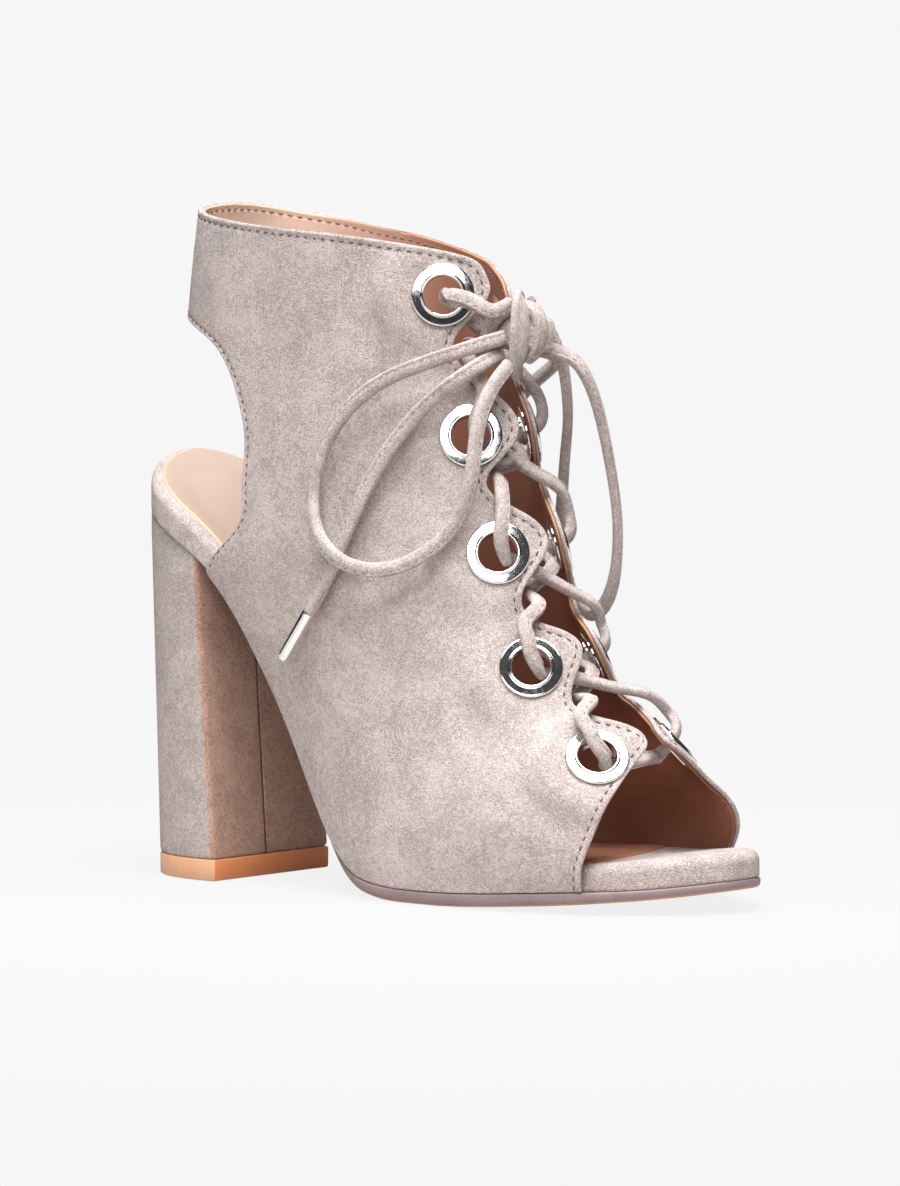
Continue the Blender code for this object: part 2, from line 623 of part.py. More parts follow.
def lace(shoe):
    """The crossings as one joined solid, and the bow as cord pieces that meet its knot."""
    bar = [at_eyelet(1, 5, 2.0, -1.0, -6.5), at_eyelet(1, 5, 9.0, -4.0, -9.0), at_eyelet(-1, 5, 9.0, -4.0, -9.0)]
    first = shoe.add("lace_crossings", tube_mesh("lace_crossings", smooth_route(bar + strand(-1), 5.0)), SUEDE)
    second = shoe.add("lace_other_strand", tube_mesh("lace_other_strand", smooth_route(strand(1), 5.0)), cutter=True)
    join = first.modifiers.new("join", "BOOLEAN")
    join.operation = "UNION"
    join.solver = "EXACT"
    join.object = second

    def knot(work):
        shape = Matrix.Diagonal((*(h * MM for h in KNOT_HALF), 1.0))
        bmesh.ops.create_uvsphere(work, u_segments=12, v_segments=8, radius=1.0,
                                  matrix=Matrix.Translation(Vector(KNOT) * MM) @ shape)
    shoe.add("lace_knot", mesh_from("lace_knot", knot), SUEDE)
    for name, route in (("lace_loop_right", LOOP_RIGHT), ("lace_loop_left", LOOP_LEFT),
                        ("lace_end_right", END_RIGHT), ("lace_end_left", END_LEFT)):
        shoe.add(name, tube_curve(name, smooth_route(route, 7.0)), SUEDE)
    for name, route in (("aglet_right", END_RIGHT), ("aglet_left", END_LEFT)):
        aglet(shoe, name, route)


def aglet(shoe, name, route):
    """Metal tip in line with the end of a lace."""
    tail = smooth_route(route, 7.0)
    along = Vector(tail[-1] - tail[-2]).normalized()
    middle = Vector(tail[-1]) + along * (GAP + AGLET_LENGTH / 2)

    def build(work):
        turn = Vector((0, 0, 1)).rotation_difference(along).to_matrix().to_4x4()
        bmesh.ops.create_cone(work, cap_ends=True, segments=12, radius1=AGLET_DIAMETER / 2 * MM,
                              radius2=AGLET_DIAMETER / 2 * MM, depth=AGLET_LENGTH * MM,
                              matrix=Matrix.Translation(middle * MM) @ turn)
    shoe.add(name, mesh_from(name, build), CHROME)


def main():
    empty_scene()
    shoe = Shoe()
    insole(shoe)
    outsole(shoe)
    heel(shoe)
    upper(shoe)
    eyelets(shoe)
    lace(shoe)


main()
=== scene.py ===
"""Looks of a woman's lace-up peep-toe ankle shoe for the right foot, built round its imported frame.

The tables are in millimetres: X runs from the back of the heel to the toe, Y to the wearer's left and Z up
from the floor. world() turns them into metres on the frame's own axes.
"""

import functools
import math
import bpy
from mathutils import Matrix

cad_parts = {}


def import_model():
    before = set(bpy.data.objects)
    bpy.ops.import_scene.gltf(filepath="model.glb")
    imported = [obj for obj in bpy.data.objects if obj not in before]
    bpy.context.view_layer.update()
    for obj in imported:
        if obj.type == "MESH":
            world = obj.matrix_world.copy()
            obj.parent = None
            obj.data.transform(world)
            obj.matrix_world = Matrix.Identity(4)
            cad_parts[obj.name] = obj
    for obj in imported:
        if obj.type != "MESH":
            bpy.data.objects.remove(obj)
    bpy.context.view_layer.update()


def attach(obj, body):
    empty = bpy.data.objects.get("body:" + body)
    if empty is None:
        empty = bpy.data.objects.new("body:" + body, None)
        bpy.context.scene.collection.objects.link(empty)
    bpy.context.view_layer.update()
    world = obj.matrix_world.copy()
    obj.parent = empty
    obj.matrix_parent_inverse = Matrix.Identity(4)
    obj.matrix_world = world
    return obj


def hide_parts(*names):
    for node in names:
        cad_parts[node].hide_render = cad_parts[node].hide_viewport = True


bl_info = {
    "name": "Lace-up peep-toe shoe",
    "version": (1, 0, 0),
    "blender": (4, 5, 0),
    "location": "View3D > Sidebar > Shoe",
    "description": "Suede, lining, seams, lacing, sole and heel of a lace-up ankle shoe",
    "category": "Object",
}

import bpy
import numpy as np
from bpy.props import FloatProperty, FloatVectorProperty, PointerProperty
from mathutils import Vector

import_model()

MM = 0.001
ORIGIN = np.array([101.8, 0.3, 0.0])    # middle of the shoe's box in the tables' axes

# Insole, wall and gap
LENGTH = 203.0
HEEL_ROUND = 26.0           # length of the rounded back end
TOE_ROUND = 34.0            # and of the rounded toe
TOE_SQUARE = (2.6, 2.1)     # exponents of the toe's curve
TOE_SWING = 2.0             # how far the toe turns to the inner side
SWING_START = 170.0
SWING_BEND = 1.5
WALL = 2.0                  # thickness of the upper with its lining
GAP = 0.3                   # clearance between neighbours
# Place along the foot, height of the insole's underside, half widths of its outer and inner side
# Columns: x, z, right, left
SOLE = np.array([
    (0, 107.2, 27.5, 27.5),
    (16, 100.8, 27.7, 27.7),
    (30, 92.8, 27.6, 27.0),
    (40, 83.5, 26.2, 24.6),
    (51, 66.5, 24.2, 21.8),
    (62, 47.0, 23.4, 20.8),
    (76, 22.0, 25.4, 22.8),
    (89, 8.0, 29.2, 27.2),
    (102, 4.2, 32.6, 31.6),
    (118, 3.6, 34.8, 34.6),
    (134, 3.9, 34.8, 35.8),
    (152, 4.9, 32.4, 34.6),
    (170, 6.0, 28.6, 31.2),
    (188, 7.3, 23.5, 27.0),
    (203, 9.2, 16.0, 21.0),
])
INSOLE_THICKNESS = ((0, 12, 40, 100, 150, 170, 187, 203), (12.0, 10.2, 8.6, 8.0, 7.8, 7.4, 8.3, 7.8))
HEEL_BANK = 4.5             # how far the heel seat rises from its outer to its inner rim
BANK_ACROSS = (-24, 12)
BANK_END = (14, 46)
RIM_ROUND = 3.3             # radius of the padded rim's upper edge
HEEL_DISH = 1.8             # how far the sock sinks below the rim at the heel
DISH_END = (28, 60)
DISH_SLOPE = (3, 14)        # distances inside the outline between which it sinks
SOCK_INSET = 3.4            # bare rim beside the sock
SOCK_RISE = 0.7
SOCK_SUNK = 0.15            # depth of the sock's edge in the padding
SOCK_BURIED = 0.6           # how much deeper its underside lies
SOCK_ROUND = 0.6            # width of its rounded edge
SOCK_ROWS = 120
SOCK_COLUMNS = 41
SOCK_FRONT = (166.0, -0.24, -0.003)  # front edge of the sock: place on the foot's line, slant and bend
# Rings of the rim below its rounding, columns: inset, rise
RIM_RINGS = ((0.8, -0.05), (0.25, 0.1), (0.05, 0.4), (0.0, 0.9), (0.0, 1.8))
SEAT_INSETS = (5.0, 8.0, 11.0, 14.0)
SOLE_POINTS = 260           # round the plan of the insole and of the outsole

# Outsole
OUTSOLE_END = 31.7          # its back end, under the heel's head
OUTSOLE_THICKNESS = ((75, 105, 160, 185, 203), (2.2, 3.7, 3.6, 3.0, 2.7))
OUTSOLE_GROW = ((60, 96, 168, 178), (-1.5, WALL + GAP + 0.3, WALL + GAP + 0.3, 0.3))
# Columns: inset, share of the thickness, rise
OUTSOLE_RINGS = ((1.5, 0, 0), (0.8, 0, 0.12), (0.25, 0, 0.5), (0, 0.4, 0.2), (0, 0.8, 0), (0.2, 0.95, 0),
                 (0.6, 1, 0))

# Heel block at the floor and at its top: half width, back and breast
HEEL_FOOT = (26.0, 2.3, 36.3)
HEEL_HEAD = (27.2, 0.4, 30.6)
HEEL_SQUARE = 2.3           # exponent of the rounded back
HEEL_CORNER = 1.6           # radius of the breast's edges
LIFT_CORNER = 0.8           # and of the top piece's
HEEL_SEAM = -2.5            # the cover's seam on the breast
SEAM_DEPTH = 1.1
SEAM_HALF = 0.24
SEAM_SHADE_HALF = 0.3             # half width of its dark line, a painted shade in the furrow
SEAM_STEPS = (0.1, 0.22, 0.36, 0.6, 1.2)    # distances of the plan's points on both sides of it
TOP_PIECE = 6.0             # thickness of the top piece
# Columns: share of the heel's height, grow
HEEL_RINGS = ((0, -0.5), (0.004, -0.15), (0.012, 0), (0.1, 0), (0.25, 0), (0.4, 0), (0.55, 0), (0.7, 0),
              (0.85, 0), (0.95, 0), (1.0, -0.2))
# Columns: height, grow
LIFT_RINGS = ((0.0, -0.4), (0.15, -0.15), (0.4, 0.0), (3.0, 0.05), (5.7, 0.05), (5.95, -0.1),
              (TOP_PIECE + 0.1, -0.4))

# Sections of the upper from toe to collar, each a fan plane from the sole or heel to the instep
# Columns: sole_x, top_x, top_z, right, left, widest, round_height, round_width
SECTIONS = np.array([
    (174, 177.0, 43.5, 31.5, 34.3, 0.18, 2.0, 1.0),
    (150, 169.0, 51.0, 36.2, 38.0, 0.22, 2.0, 1.0),
    (124, 161.0, 58.5, 38.5, 39.0, 0.25, 2.0, 1.0),
    (98, 153.0, 68.5, 37.0, 36.5, 0.28, 2.0, 1.0),
    (76, 146.5, 82.0, 34.5, 33.5, 0.33, 2.0, 1.0),
    (56, 140.0, 100.0, 32.5, 32.0, 0.38, 2.0, 1.0),
    (38, 134.3, 117.0, 31.5, 31.0, 0.42, 2.2, 1.3),
    (20, 129.6, 133.0, 30.5, 30.5, 0.45, 2.6, 2.0),
    (15.5, 123.8, 153.0, 29.5, 29.5, 0.46, 3.0, 3.0),
    (17.5, 119.6, 171.0, 29.0, 29.0, 0.46, 3.2, 3.2),
    (21.5, 117.2, 183.0, 28.5, 28.5, 0.45, 3.2, 3.2),
])
# Columns: section, z, half
BACK = np.array([(6, 88, 28), (7, 112, 14), (8, 141, 0), (9, 166, 0), (10, 194.5, 0)])
LEAVE_SOLE = (6.2, 7.0)     # sections between which the lower end moves from the sole to the back

# Edges of the upper, run from 0 at the toe to 1 at the back
THROAT_END = 0.6
FEATHER_END = 0.45
# Columns: run, section
FEATHER = np.array([(0.0, 0.12), (0.1, 0.9), (0.2, 2.1), (0.3, 3.6), (0.38, 4.9), (0.45, 6.05)])
# Columns: run, section, angle
CUT_OUT = np.array([
    (0.45, 6.05, -90),
    (0.50, 6.42, -38),
    (0.56, 6.78, -21),
    (0.62, 7.20, -14),
    (0.69, 7.65, -12.5),
    (0.78, 8.15, -17),
    (0.88, 8.58, -34),
    (1.00, 8.95, -90),
])
# Columns: run, section, angle
COLLAR = np.array([
    (0.60, 8.95, 81.7),
    (0.64, 9.42, 77),
    (0.68, 9.66, 66),
    (0.74, 9.80, 48),
    (0.80, 9.87, 28),
    (0.87, 9.87, 2),
    (0.93, 9.88, -25),
    (1.00, 9.97, -90),
])
# Columns: eyelet number from the collar, halves for the valleys, and section
THROAT = np.array([(1.0, 8.95), (1.5, 8.03), (2.0, 6.96), (2.5, 6.06), (3.0, 5.05), (3.5, 4.28), (4.0, 3.2),
                   (4.5, 2.1), (5.0, 0.1)])
TIP_HALF_GAP = 4.2
VALLEY_HALF_GAP = 15.5
TOE_BOW = (0.16, 0.5)       # on the outer and the inner side
TOE_SKEW = 0.2              # how much further back the inner side's toe edge lies
TOE_RUN = 0.1               # run to which the toe edge's bow reaches
BOW_ANGLE = 85              # angle to which it rises
SPREAD_START = 0.45         # exponent of the angle's way up at the toe, which becomes 1 along a run
SPREAD_RUN = (0.35, 0.7)
LEAN_RUN = (0.85, 1)        # run in which the columns stop leaning
INSET_RUN = (THROAT_END - 0.02, THROAT_END + 0.06)  # run from the throat's seam to the collar's
INNER_SET_BACK = 4.0        # how far the inner side's instep lies behind the outer side's
SET_BACK_END = (8.2, 10.4)
INNER_DROP = 0.5            # how far the front of the inner collar lies below the outer one
DROP_RISE = (6.5, 9.0)
DROP_TURN = (-25, 75)
INNER_REACH = 2.4           # how much further the inner side's tabs reach over the instep
REACH_RISE = (1.0, 1.8)     # eyelet numbers between which they begin to
TAB_ROUND = (0.02, 0.12)    # rounding of the lowest tabs, as shares of the run and the rise

# Eyelets from the collar down: section and angle of their middles
EYELETS = ((8.85, 57.4), (6.89, 58.7), (5.05, 58.2), (3.33, 59.0), (0.73, 54.1))
EYELET_FLAT = 13.0          # radius of the flat round an eyelet
EYELET_BLEND = 22.0         # radius where the surface has its own curve again
EYELET_CUT = 6.7            # radius of the hole in suede and lining
EYELET_TURNS = 64
EYELET_PRESS = (9.2, 12.0)  # radii between which the pressed ring under the flange ends
PRESS_DEPTH = 0.28

# Grid of the upper: distances from an edge where rows lie, and runs of the columns beside the toe edge
EDGE_STEPS = (0, 0.12, 0.3, 0.55, 0.9, 1.3, 1.7, 2.1, 2.5, 2.9, 3.4, 4.1, 5.2, 6.6, 8.5, 10.8)
TOE_COLUMNS = (0, 0.0006, 0.0014, 0.0026, 0.0042, 0.006, 0.008, 0.0102, 0.0126, 0.0155, 0.019, 0.0235, 0.029)
COLUMNS = 176
MIDDLE_ROWS = 26
FINE_ROWS = 400
RIM_SPLIT = 8               # parts of one column's step along the rim, for distances from it
STEADY_RUN = (0.66, 0.7)    # runs between which the outward directions begin to be steadied
STEADY_REACH = 6
CUT_START = FEATHER_END + 0.008     # run where the cut-out's edge begins, and its stitches
CUT_STITCHES = FEATHER_END + 0.012
FAR = 99.0                  # further away than any edge
TOE_REACH = 40              # columns beside a toe edge in which its seam lies
CREASES = (                 # side; run and height of the start, middle and end; width; depth
    (-1, (0.24, 0.12), (0.17, 0.3), (0.1, 0.44), 5.0, 0.22),
    (-1, (0.31, 0.1), (0.25, 0.32), (0.21, 0.55), 6.0, 0.26),
    (-1, (0.36, 0.2), (0.4, 0.42), (0.46, 0.6), 7.0, 0.28),
    (-1, (0.52, 0.12), (0.55, 0.4), (0.6, 0.72), 6.0, 0.24),
    (-1, (0.7, 0.25), (0.72, 0.5), (0.72, 0.75), 5.0, 0.2),
    (-1, (0.86, 0.2), (0.85, 0.5), (0.86, 0.8), 4.0, 0.22),
    (1, (0.26, 0.12), (0.2, 0.32), (0.15, 0.5), 5.5, 0.22),
    (1, (0.37, 0.2), (0.42, 0.42), (0.48, 0.62), 7.0, 0.26),
    (1, (0.6, 0.2), (0.62, 0.45), (0.66, 0.7), 6.0, 0.22),
    (1, (0.84, 0.2), (0.84, 0.5), (0.83, 0.8), 4.0, 0.2),
)
CREASE_RIDGE = 0.6          # strength of the ridges beside a crease
LINING_TRIM = 2             # grid lines by which the lining's edge lies inside the suede's
LINING_GAP = 0.05           # between the suede and the lining
EDGE_ROUND = 0.6            # radius of the suede's edges
LINING_ROUND = 0.35         # and of the lining's
SEAM_FURROW = (0.22, 0.45)  # depth and half width
SEAM_LIP = (0.1, 1.1, 0.7)  # swelling between a seam and the edge: height, distance from the seam, half width
LINING_FURROW = (0.12, 0.45)
BACK_SEAM = (0.3, 0.5)      # seam of the lining at the back: depth and half width
BACK_SEAM_RUN = 0.9
STITCH_SUNK = 0.16          # depth of the stitches' middle below the outer surface
STITCH_INSIDE = 0.02        # and its place beyond the thickness of suede and lining on the inside

# Routes of the bow
KNOT = np.array([127.5, 0.0, 157.0])
KNOT_ENTRY = (-1.0, 5.0, 8.6)   # where a strand goes into the knot, from its middle: X, Y to its own side, Z
KNOT_TURN = 38.0            # degrees from the outer side towards the toe, where its face looks
LACE_STEP = 1.3
KNOT_STEP = 0.9
LACE_AROUND = 28            # points round the lace
LACE_SQUARE = 2.7           # exponent of its section
FURROW_PLACE = 0.24         # furrow of its seam, as shares of its width and thickness
FURROW_HALF = 0.09
FURROW_DEPTH = 0.12
TWIST_REACH = 14            # points over which a lace's turning is evened out
TWIST_EASE = 6.0
# Metal tip, columns: distance from its upper end, share of its radius
AGLET_PROFILE = ((0.0, 0.6), (0.0, 0.95), (0.35, 1.0), (0.8, 0.96), (1.3, 1.0), (15.2, 0.97), (16.3, 0.9),
                 (16.8, 0.72), (17.0, 0.4))
AGLET_TURNS = 32
# The lace beside an eyelet that it leaves, from the eyelet's middle, on the outer and on the inner side
# Columns: throat, up, out
OUTER_RISE = ((2.5, -1.5, -6.0), (1.6, -2.0, -0.6), (1.6, 2.2, 3.2), (3.4, 6.4, 4.2), (5.2, 10.4, 3.6))
INNER_RISE = ((2.5, -1.5, -6.0), (0.8, 0.4, -0.6), (0.5, 2.8, 3.2), (0.6, 7.0, 4.2))
# The lace from the first eyelet towards the knot
OUTER_LAST = ((2.5, -1.5, -6.0), (0.4, 0.0, -0.6), (2.8, -0.6, 3.2), (7.0, -2.0, 4.4), (13.0, -5.5, 4.4))
INNER_LAST = ((2.5, -1.5, -6.0), (0.4, 0.0, -0.6), (2.8, 0.2, 3.2), (7.0, 1.6, 4.4), (12.0, 4.0, 4.4))
UNDER_EDGE = (8.0, -7.0, -5.0)  # under the throat's edge, beside the eyelet that it goes to
# The bar inside, between the lowest eyelets, columns: side, throat, up, out
BAR = ((1, 2.0, -1.0, -6.5), (1, 9.0, -4.0, -9.0), (-1, 9.0, -4.0, -9.0))
# The lace's way across the throat, from halfway between the two valleys above the eyelet
# Columns: across, up, out
OUTER_CROSSING = ((-13.0, -2.2, 3.5), (-8.3, 1.4, 0.5), (-3.0, 5.0, -3.2))
INNER_CROSSING = ((13.4, -4.0, 4.4), (8.5, 0.6, 2.6), (3.8, 4.4, 1.3), (-0.8, 7.2, 0.9))
LOOP_RIGHT = ((127, -8.4, 156.4), (123.8, -18.2, 154), (116.8, -24.8, 150.8), (106.2, -29.4, 146.6),
              (95.6, -32.4, 140.2), (87.8, -33.8, 132.2), (82.5, -34.4, 123), (80.3, -35, 113),
              (82.3, -37, 105), (88.2, -39.6, 98.6), (95, -39.9, 94.2), (102, -37.2, 92.2),
              (109, -33.6, 93), (115.8, -30.8, 96.4), (122, -27.8, 102), (126.4, -25.2, 111),
              (128.4, -23.8, 122), (128.6, -21.8, 132.5), (129.4, -17.2, 142), (129.4, -9, 148.8))
LOOP_LEFT = ((131, 6.6, 153), (135.5, 12.5, 150), (138, 16.5, 143.5), (138.5, 21, 134),
             (138.5, 25.5, 121), (138.5, 29, 106), (136.5, 31.5, 92), (131.5, 33.5, 81), (124, 36, 77),
             (117, 37, 82), (114.5, 35.5, 92), (115.5, 33, 102), (118.5, 30, 112), (122, 26.5, 122),
             (126, 22.5, 132), (129, 18, 141.5), (129.6, 14, 151.5), (128.5, 8.2, 160.5))
END_RIGHT = ((124.5, -6.6, 152), (124.6, -21, 147.2), (116.5, -25.2, 140.5), (109, -27.6, 133),
             (103, -30.2, 124.5), (97, -32.3, 114), (92, -34, 103), (87.5, -35, 93), (83, -35.4, 85),
             (79, -35.2, 79.5))
END_LEFT = ((125, 7.2, 153), (123, 21.5, 149.8), (113.5, 26.5, 144.5), (103.5, 29.4, 138),
            (95.5, 31.8, 129.3), (89, 33.3, 119), (84, 34.3, 108), (80, 35.2, 97), (76.5, 35.7, 86.5))
# Line inside the leg and foot, from which a lace lying on the shoe turns its face outwards
LEG = np.array([(165, 0, 22), (140, 0, 38), (112, 0, 62), (92, 0, 95), (82, 0, 130), (78, 0, 195)])
# Wraps of the knot, from its middle: route to the right, up and out of its face, then width and thickness
KNOT_WRAPS = (
    (((-1.0, 8.4, -1.5), (-1.0, 9.5, 2.0), (-0.9, 8.4, 5.2), (-0.9, 4.4, 7.2), (-1.1, -0.8, 7.6),
      (-1.4, -5.4, 6.8), (-1.8, -8.8, 4.4), (-2.0, -9.4, 1.2), (-2.0, -8.0, -1.5)), 6.8, 3.0),
    (((-2.0, 8.0, 1.6), (-5.0, 7.2, 4.0), (-8.0, 4.6, 4.6), (-9.7, 0.8, 3.6), (-9.6, -3.0, 1.4),
      (-7.5, -5.0, -1.0)), 4.6, 3.2),
    (((1.0, 8.2, 1.2), (3.4, 6.6, 3.4), (4.7, 2.8, 4.2), (4.5, -1.2, 3.8), (3.2, -4.8, 2.6),
      (1.0, -6.8, 1.0)), 4.6, 3.2),
    (((-8.0, 1.0, -1.0), (-4.0, 1.0, 2.0), (0.0, 0.6, 3.0), (4.0, 0.4, 2.0), (7.0, 0.0, -1.0)), 10.0, 5.0),
)

# Stage, in metres
LENS = 215.9
CAMERA_TURN = 38.2          # degrees from the outer side towards the toe
CAMERA_DISTANCE = 2.0
CAMERA_HEIGHT = 0.214
CAMERA_TARGET = (-0.0003, -0.0003, 0.0838)
FLOOR = -0.0002             # height of the floor, just clear of the soles
FLOOR_REACH = 0.6
FLOOR_FADE = (0.16, 0.5)    # distances between which the floor fades into the surround
FLOOR_WHITE = 0.85
SURROUND_WHITE = 0.922
LIGHT_TARGET = (0.0, 0.0, 0.08)
# Columns: name, place, width, height, power
LIGHTS = (
    ("front_softbox", (0.64, -1.3, 0.76), 1.0, 0.45, 8.5),
    ("overhead", (0.25, -0.31, 1.5), 1.2, 1.2, 56.0),
)


def size(name, description, default):
    return FloatProperty(name=name, description=description, default=default, unit="LENGTH", precision=5,
                         min=0.0)


def tint(name, description, default):
    return FloatVectorProperty(name=name, description=description, default=default, subtype="COLOR", min=0.0,
                               max=1.0)


class ShoeSizes(bpy.types.PropertyGroup):
    """Sizes of the sewn and folded pieces."""
    suede: size("Suede", "Thickness of the suede with its interlining", 0.0011)
    lining: size("Lining", "Thickness of the lining leather", 0.00085)
    throat_inset: size("Throat seam", "Distance of the seam from the tabs and the toe edge", 0.0021)
    collar_inset: size("Collar seam", "Distance of the seam from the collar", 0.0019)
    cut_inset: size("Heel seam", "Distance of the seam from the heel cut-out", 0.0017)
    stitch: size("Stitch", "Length of one stitch", 0.0017)
    pitch: size("Pitch", "Distance from one stitch to the next", 0.0029)
    thread: size("Thread", "Thickness of the thread", 0.0006)
    lace_width: size("Lace width", "Width of the folded lace", 0.0042)
    lace_thickness: size("Lace thickness", "Thickness of the folded lace", 0.0029)
    aglet: size("Aglet", "Width of the metal lace tip", 0.0037)


class ShoeColours(bpy.types.PropertyGroup):
    """Colours of the materials, linear."""
    suede: tint("Suede", "Raised nap", (0.75, 0.65, 0.62))
    suede_shade: tint("Suede shade", "Nap brushed the other way", (0.42, 0.342, 0.317))
    # Painted warm shade for the heel's breast, which stands in shade under the arch
    breast: tint("Breast painted shade", "Painted warm shade on the suede of the heel's breast", (1.0, 0.71, 0.57))
    lining: tint("Lining", "Lining leather at the collar", (0.93, 0.69, 0.56))
    # Painted shade of the toe cavity, into which the lining and the sock darken towards the toes
    toe_painted_shade: tint("Toe painted shade", "Painted shade on the lining and sock at the toes", (0.36, 0.15, 0.09))
    sock_edge: tint("Sock edge", "Cut edge of the sock", (0.72, 0.47, 0.3))
    lining_edge: tint("Lining edge", "Cut edge of the lining", (0.46, 0.25, 0.14))
    sock: tint("Sock", "Leather sock at the heel", (0.46, 0.345, 0.285))
    thread: tint("Thread", "Sewing thread", (0.13, 0.095, 0.088))
    lining_thread: tint("Lining thread", "Thread seen on the lining", (0.24, 0.13, 0.085))
    lace_thread: tint("Lace thread", "Thread in the lace", (0.30, 0.235, 0.215))
    metal: tint("Metal", "Polished eyelets and lace tips", (0.92, 0.92, 0.92))
    # Painted warm shade for the top piece's front face under the breast
    lift_front_shade: tint("Top piece breast", "Painted warm shade on the top piece under the breast", (0.89, 0.31, 0.125))
    rubber: tint("Top piece", "Rubber under the heel", (0.8, 0.45, 0.26))
    outsole: tint("Outsole edge", "Painted edge of the outsole", (0.30, 0.215, 0.22))
    outsole_face: tint("Outsole face", "Underside of the outsole", (0.62, 0.32, 0.19))


def sizes():
    return bpy.context.scene.shoe_sizes


def colours():
    return bpy.context.scene.shoe_colours


def in_mm(value):
    return value / MM


def world(points):
    """Metres on the frame's axes from millimetres in the tables' axes."""
    return (np.asarray(points, float) - ORIGIN) * MM


# Curves and surfaces of the shoe

def spline(knots, values, at):
    """Natural cubic through rows of values, read at any shape of places."""
    knots, values, at = (np.asarray(a, float) for a in (knots, values, at))
    values = values.reshape(len(knots), -1)
    n = len(knots)
    h = np.diff(knots)
    slope = np.diff(values, axis=0) / h[:, None]
    system = np.eye(n)
    right = np.zeros_like(values)
    for i in range(1, n - 1):
        system[i, i - 1:i + 2] = h[i - 1], 2 * (h[i - 1] + h[i]), h[i]
        right[i] = 6 * (slope[i] - slope[i - 1])
    bend = np.linalg.solve(system, right)
    i = np.clip(np.searchsorted(knots, at, side="right") - 1, 0, n - 2)
    p, q, w = (v[..., None] for v in (at - knots[i], knots[i + 1] - at, h[i]))
    cubic = (bend[i] * q ** 3 + bend[i + 1] * p ** 3) / (6 * w)
    return cubic + (values[i] / w - bend[i] * w / 6) * q + (values[i + 1] / w - bend[i + 1] * w / 6) * p


def ease(low, high, at):
    """Smooth step from 0 at low to 1 at high."""
    s = np.clip((np.asarray(at, float) - low) / (high - low), 0, 1)
    return s * s * (3 - 2 * s)


def unit(vectors):
    return vectors / np.linalg.norm(vectors, axis=-1, keepdims=True)


def lengths(points):
    """Distance along a line of points, from its first one."""
    return np.concatenate([[0], np.cumsum(np.linalg.norm(np.diff(points, axis=0), axis=1))])


def sole_at(x):
    """Underside height and half widths of the insole."""
    return np.moveaxis(spline(SOLE[:, 0], SOLE[:, 1:], x), -1, 0)


def section_point(section, angle, side):
    """Point of the upper's outer surface: angle -90 on the sole or heel line, 90 on the instep."""
    section, angle = np.broadcast_arrays(np.asarray(section, float), np.asarray(angle, float))
    if side > 0:
        section = section - INNER_DROP * ease(*DROP_RISE, section) * ease(*DROP_TURN, angle)
    angle = np.radians(angle)
    row = np.moveaxis(spline(np.arange(len(SECTIONS)), SECTIONS, section), -1, 0)
    sole_x, top_x, top_z, right, left, widest, round_height, round_width = row
    if side > 0:
        top_x = top_x - INNER_SET_BACK * (1 - ease(*SET_BACK_END, section))
    sole_z, sole_right, sole_left = sole_at(sole_x)
    back_z, back_half = np.moveaxis(spline(BACK[:, 0], BACK[:, 1:], section), -1, 0)
    leave = ease(*LEAVE_SOLE, section)
    feather = (sole_right if side < 0 else sole_left) + WALL + GAP
    low_z = sole_z + (back_z - sole_z) * leave
    low = np.maximum(feather + (back_half - feather) * leave, 0)
    wide = right if side < 0 else left
    s, c = np.abs(np.sin(angle)), np.abs(np.cos(angle))
    below = angle < 0
    rise = np.where(below, widest * (1 - s ** (2 / round_height)), widest + (1 - widest) * s)
    half = np.where(below, low + (wide - low) * c ** (2 / round_width), wide * c)
    return np.stack([sole_x + (top_x - sole_x) * rise, side * half, low_z + (top_z - low_z) * rise], -1)


def surface_frame(section, angle, side):
    """Point, throatward, upward and outward directions of the outer surface."""
    point = section_point(section, angle, side)
    up = section_point(section + 0.02, angle, side) - section_point(section - 0.02, angle, side)
    throat = unit(section_point(section, angle + 0.5, side) - section_point(section, angle - 0.5, side))
    out = unit(side * np.cross(up, throat))
    return point, throat, side * np.cross(throat, out), out


def inner_reach(number, side):
    """How much further the inner side's throat edge reaches over the instep, below the first tab."""
    return INNER_REACH * ease(*REACH_RISE, number) if side > 0 else 0.0


def eyelet_frame(number, side):
    """Frame of an eyelet, which keeps its distance from its own throat edge."""
    section, angle = EYELETS[number - 1]
    wide = abs(section_point(section, 0.0, side)[1])
    angle = np.degrees(np.arccos(np.cos(np.radians(angle)) - inner_reach(number, side) / wide))
    return surface_frame(section, angle, side)


def from_axis(points, middle, out):
    """Height along an axis and distance from it."""
    offset = points - middle
    height = offset @ out
    return height, np.linalg.norm(offset - height[..., None] * out, axis=-1)


def flattened(points, side):
    """The surface pressed flat round each eyelet."""
    for number in range(1, len(EYELETS) + 1):
        middle, _, _, out = eyelet_frame(number, side)
        height, radius = from_axis(points, middle, out)
        near = (np.abs(height) < EYELET_FLAT) * (1 - ease(EYELET_FLAT, EYELET_BLEND, radius))
        points = points - (near * height)[..., None] * out
    return points


def low_edge(run):
    """Section and angle of the lower edge: the feather, then the cut-out to the strap."""
    section, angle = np.moveaxis(spline(CUT_OUT[:, 0], CUT_OUT[:, 1:], np.maximum(run, FEATHER_END)), -1, 0)
    feather = spline(FEATHER[:, 0], FEATHER[:, 1], run)[..., 0]
    on_sole = run <= FEATHER_END
    return np.where(on_sole, feather, section), np.where(on_sole, -90.0, np.clip(angle, -90, 90))


def throat_edge(number, side):
    """Section of the throat at an eyelet number, angle at the tabs' line, and a valley's depth below it."""
    section = spline(THROAT[:, 0], THROAT[:, 1], number)[..., 0]
    tip = TIP_HALF_GAP - inner_reach(number, side)
    gap = tip + (VALLEY_HALF_GAP - TIP_HALF_GAP) * np.sin(np.pi * number) ** 2
    wide = np.abs(section_point(section, np.zeros_like(section), side)[..., 1])
    tabs, edge = (np.degrees(np.arccos(g / wide)) for g in (tip, gap))
    return section, tabs, tabs - edge


